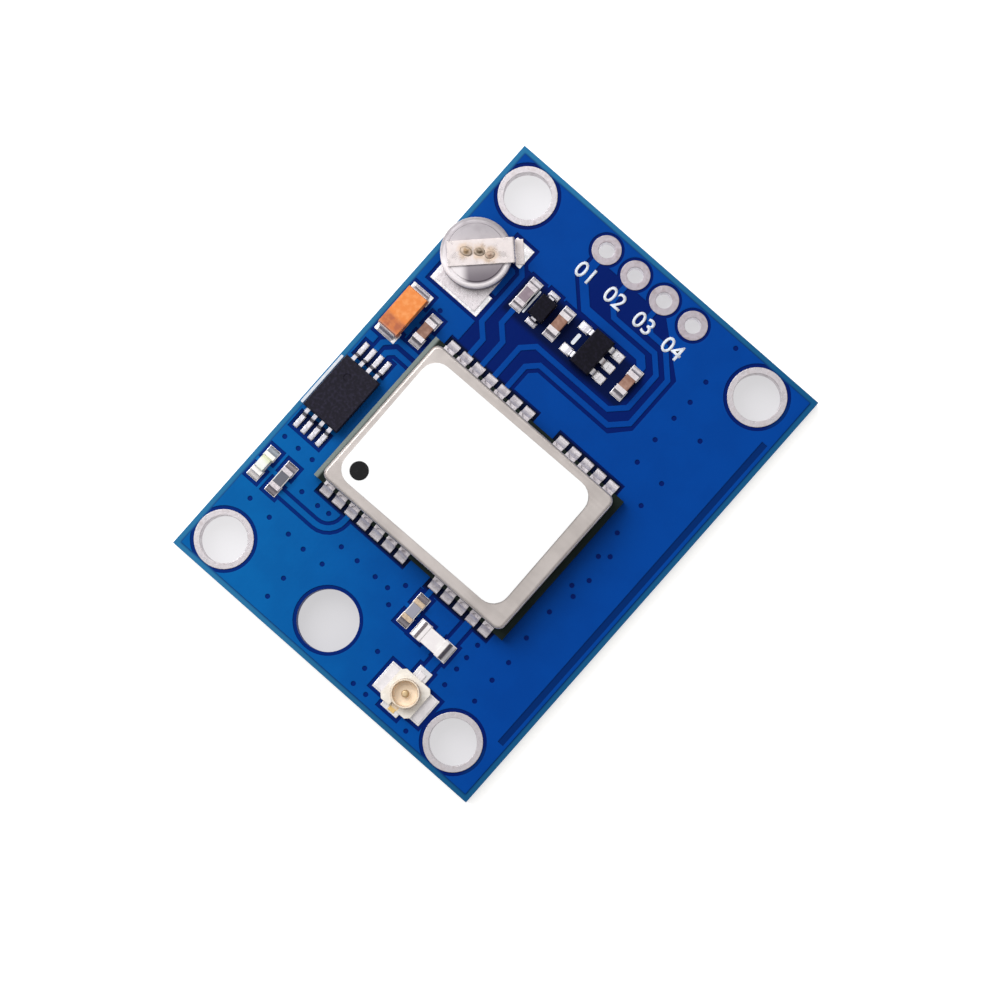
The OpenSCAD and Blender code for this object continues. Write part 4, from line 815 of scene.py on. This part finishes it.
def cushion(land, axis, way):
    """A cushion on one land, whose toe points along an axis (0 for X, 1 for Y), forward or back."""
    low = (land[0].x + TRIM, land[0].y + TRIM, land[1].z)
    high = (land[1].x - TRIM, land[1].y - TRIM, land[1].z + HEEL_RISE)
    block = add_block(low, high)
    toe = high[axis] if way > 0 else low[axis]

    def on_toe(edge):
        return all(end.z > land[1].z + 0.05 * MM and abs(end[axis] - toe) < TRIM for end in edge_ends(block, edge))

    pick(block, "edges", on_toe)
    bpy.ops.transform.translate(value=(0, 0, -TOE_DROP))
    bpy.ops.object.mode_set(mode="OBJECT")
    pick(block, "edges", lambda edge: all(end.z > land[1].z + 0.01 * MM for end in edge_ends(block, edge)))
    bpy.ops.mesh.bevel(offset=ROUNDING, segments=3, affect="EDGES")
    bpy.ops.object.mode_set(mode="OBJECT")
    bpy.ops.object.shade_smooth()
    return block


def cushions(name, leads, axis):
    """One piece of all cushions under a part's leads, which point both ways along an axis."""
    wanted = [land for land in lands if any(overlap(land, lead) for lead in leads)]
    low_x, low_y = (min(lead[0][k] for lead in leads) for k in range(2))
    high_x, high_y = (max(lead[1][k] for lead in leads) for k in range(2))
    centre = Vector(((low_x + high_x) / 2, (low_y + high_y) / 2, 0))
    first = next(land for land in wanted if (land[0] + land[1])[axis] / 2 > centre[axis])
    pattern = cushion(first, axis, 1)
    made = [pattern]
    for land in wanted:
        if land is first:
            continue
        choose(pattern)
        bpy.ops.object.duplicate()
        twin = bpy.context.object
        here = (first[0] + first[1]) / 2
        if (land[0] + land[1])[axis] / 2 < centre[axis]:
            bpy.ops.transform.rotate(value=HALF_TURN, orient_axis="Z", center_override=centre)
            here = Vector((2 * centre.x - here.x, 2 * centre.y - here.y, here.z))
        there = (land[0] + land[1]) / 2
        bpy.ops.transform.translate(value=there - here)
        bpy.ops.object.transform_apply(location=True, rotation=True, scale=True)
        made.append(twin)
    choose(*made)
    bpy.ops.object.join()
    keep(bpy.context.object, name, cushion_tin)


cushions("memory_solder_cushions", feet["memory_leads"], 1)
cushions("regulator_solder_cushions", feet["regulator_leads"], 0)
cushions("diode_solder_cushions", feet["diode_leads"], 1)

# %% [markdown]
# The stage is a plain pale floor just under the board, a sky that is bright overhead and dim at the horizon, a large
# soft light from the left, which is where the photograph's light comes from, and a weak one to fill the shadows. The
# camera looks almost straight down through a long lens. Its place was worked out from the mounting holes and corners:
# about a quarter of a metre away, leaning three degrees.

# %% floor
FLOOR_SIZE = 1.2
FLOOR_GAP = 0.02 * MM
FLOOR_GLOW = 0.55
bpy.ops.object.select_all(action="DESELECT")
bpy.ops.mesh.primitive_plane_add(size=FLOOR_SIZE, location=(0, 0, -FLOOR_GAP))
floor = bpy.context.object
floor.name = "floor"
pale = Finish("pale_floor", screen_colour(250, 250, 250), 0.8, specular=0.1)
# Painted light: under the board the floor is painted dark grey and glows more than the open floor, most on the left and
# least in the middle, which sets the light seen through the holes.
under_x = pale.band("X", board_low[0], board_high[0], 0.5 * MM)
under_y = pale.band("Y", board_low[1], board_high[1], 0.5 * MM)
under = pale.math("MULTIPLY", under_x, under_y)
open_floor = pale.blend(pale.noise(40), screen_colour(249, 249, 250), screen_colour(252, 252, 252))
pale.feed("Base Color", pale.blend(under, open_floor, screen_colour(110, 110, 114)))
pale.set("Emission Color", (1.0, 0.985, 1.0, 1.0))
through_holes = pale.ramp(pale.along("X"), -9 * MM, -3 * MM, 0.72, 0.56)
through_holes = pale.math("ADD", through_holes, pale.ramp(pale.along("X"), 2 * MM, 8 * MM, 0.0, 0.04))
glow = pale.math("MULTIPLY", under, pale.math("SUBTRACT", through_holes, FLOOR_GLOW))
pale.feed("Emission Strength", pale.math("ADD", glow, FLOOR_GLOW))
floor.data.materials.append(pale.material)

# %% lights
# Pairs of a heading, which is a ray's share of +Z or of +X, and the strength of the sky there or a factor of it
SKY_RISE = ((0.1, 0.16), (0.95, 0.66))
SKY_SIDE = ((-0.4, 1.35), (0.4, 0.65))
scene = bpy.context.scene
scene.view_settings.view_transform = "Standard"
world = bpy.data.worlds.new("studio_sky")
scene.world = world
world.use_nodes = True
sky = world.node_tree
backdrop = sky.nodes["Background"]
backdrop.inputs["Color"].default_value = (1.0, 1.0, 1.0, 1.0)
heading = sky.nodes.new("ShaderNodeTexCoord")
split = sky.nodes.new("ShaderNodeSeparateXYZ")
sky.links.new(heading.outputs["Generated"], split.inputs["Vector"])
mixed = sky.nodes.new("ShaderNodeMath")
mixed.operation = "MULTIPLY"
for slot, (axis, (first, last)) in enumerate((("Z", SKY_RISE), ("X", SKY_SIDE))):
    change = sky.nodes.new("ShaderNodeMapRange")
    limits = {"From Min": first[0], "From Max": last[0], "To Min": first[1], "To Max": last[1]}
    for name, value in limits.items():
        change.inputs[name].default_value = value
    sky.links.new(split.outputs[axis], change.inputs["Value"])
    sky.links.new(change.outputs["Result"], mixed.inputs[slot])
sky.links.new(mixed.outputs["Value"], backdrop.inputs["Strength"])
print("sky: dim at the horizon, bright overhead, brighter on the left")


def softbox(name, place, size, power):
    """A square light that faces the board."""
    bpy.ops.object.select_all(action="DESELECT")
    bpy.ops.object.light_add(type="AREA", location=place)
    light = bpy.context.object
    light.name = name
    light.data.shape = "SQUARE"
    light.data.size = size
    light.data.energy = power
    light.rotation_euler = Vector(place).to_track_quat("Z", "Y").to_euler()


softbox("key_light", (-0.2, 0.03, 0.26), 0.24, 0.75)
softbox("fill_light", (0.1, 0.25, 0.35), 0.25, 0.2)

# %% camera
FRAME_PIXELS = 1000
SENSOR = 36.0
LENS_PIXELS = 3765
CAMERA_PLACE = Vector((13.241, -6.377, 251.062)) * MM
CAMERA_TURN = (-0.02094, -0.04731, -0.7228)
camera_data = bpy.data.cameras.new("camera")
camera = bpy.data.objects.new("camera", camera_data)
scene.collection.objects.link(camera)
camera_data.sensor_width = SENSOR
camera_data.lens = LENS_PIXELS / FRAME_PIXELS * SENSOR
camera_data.clip_start = 0.01
camera_turn = Euler(CAMERA_TURN, "XYZ").to_matrix().transposed()
camera.matrix_world = Matrix.Translation(CAMERA_PLACE) @ camera_turn.to_4x4()
scene.camera = camera
print("camera at", [round(v / MM, 1) for v in camera.location])
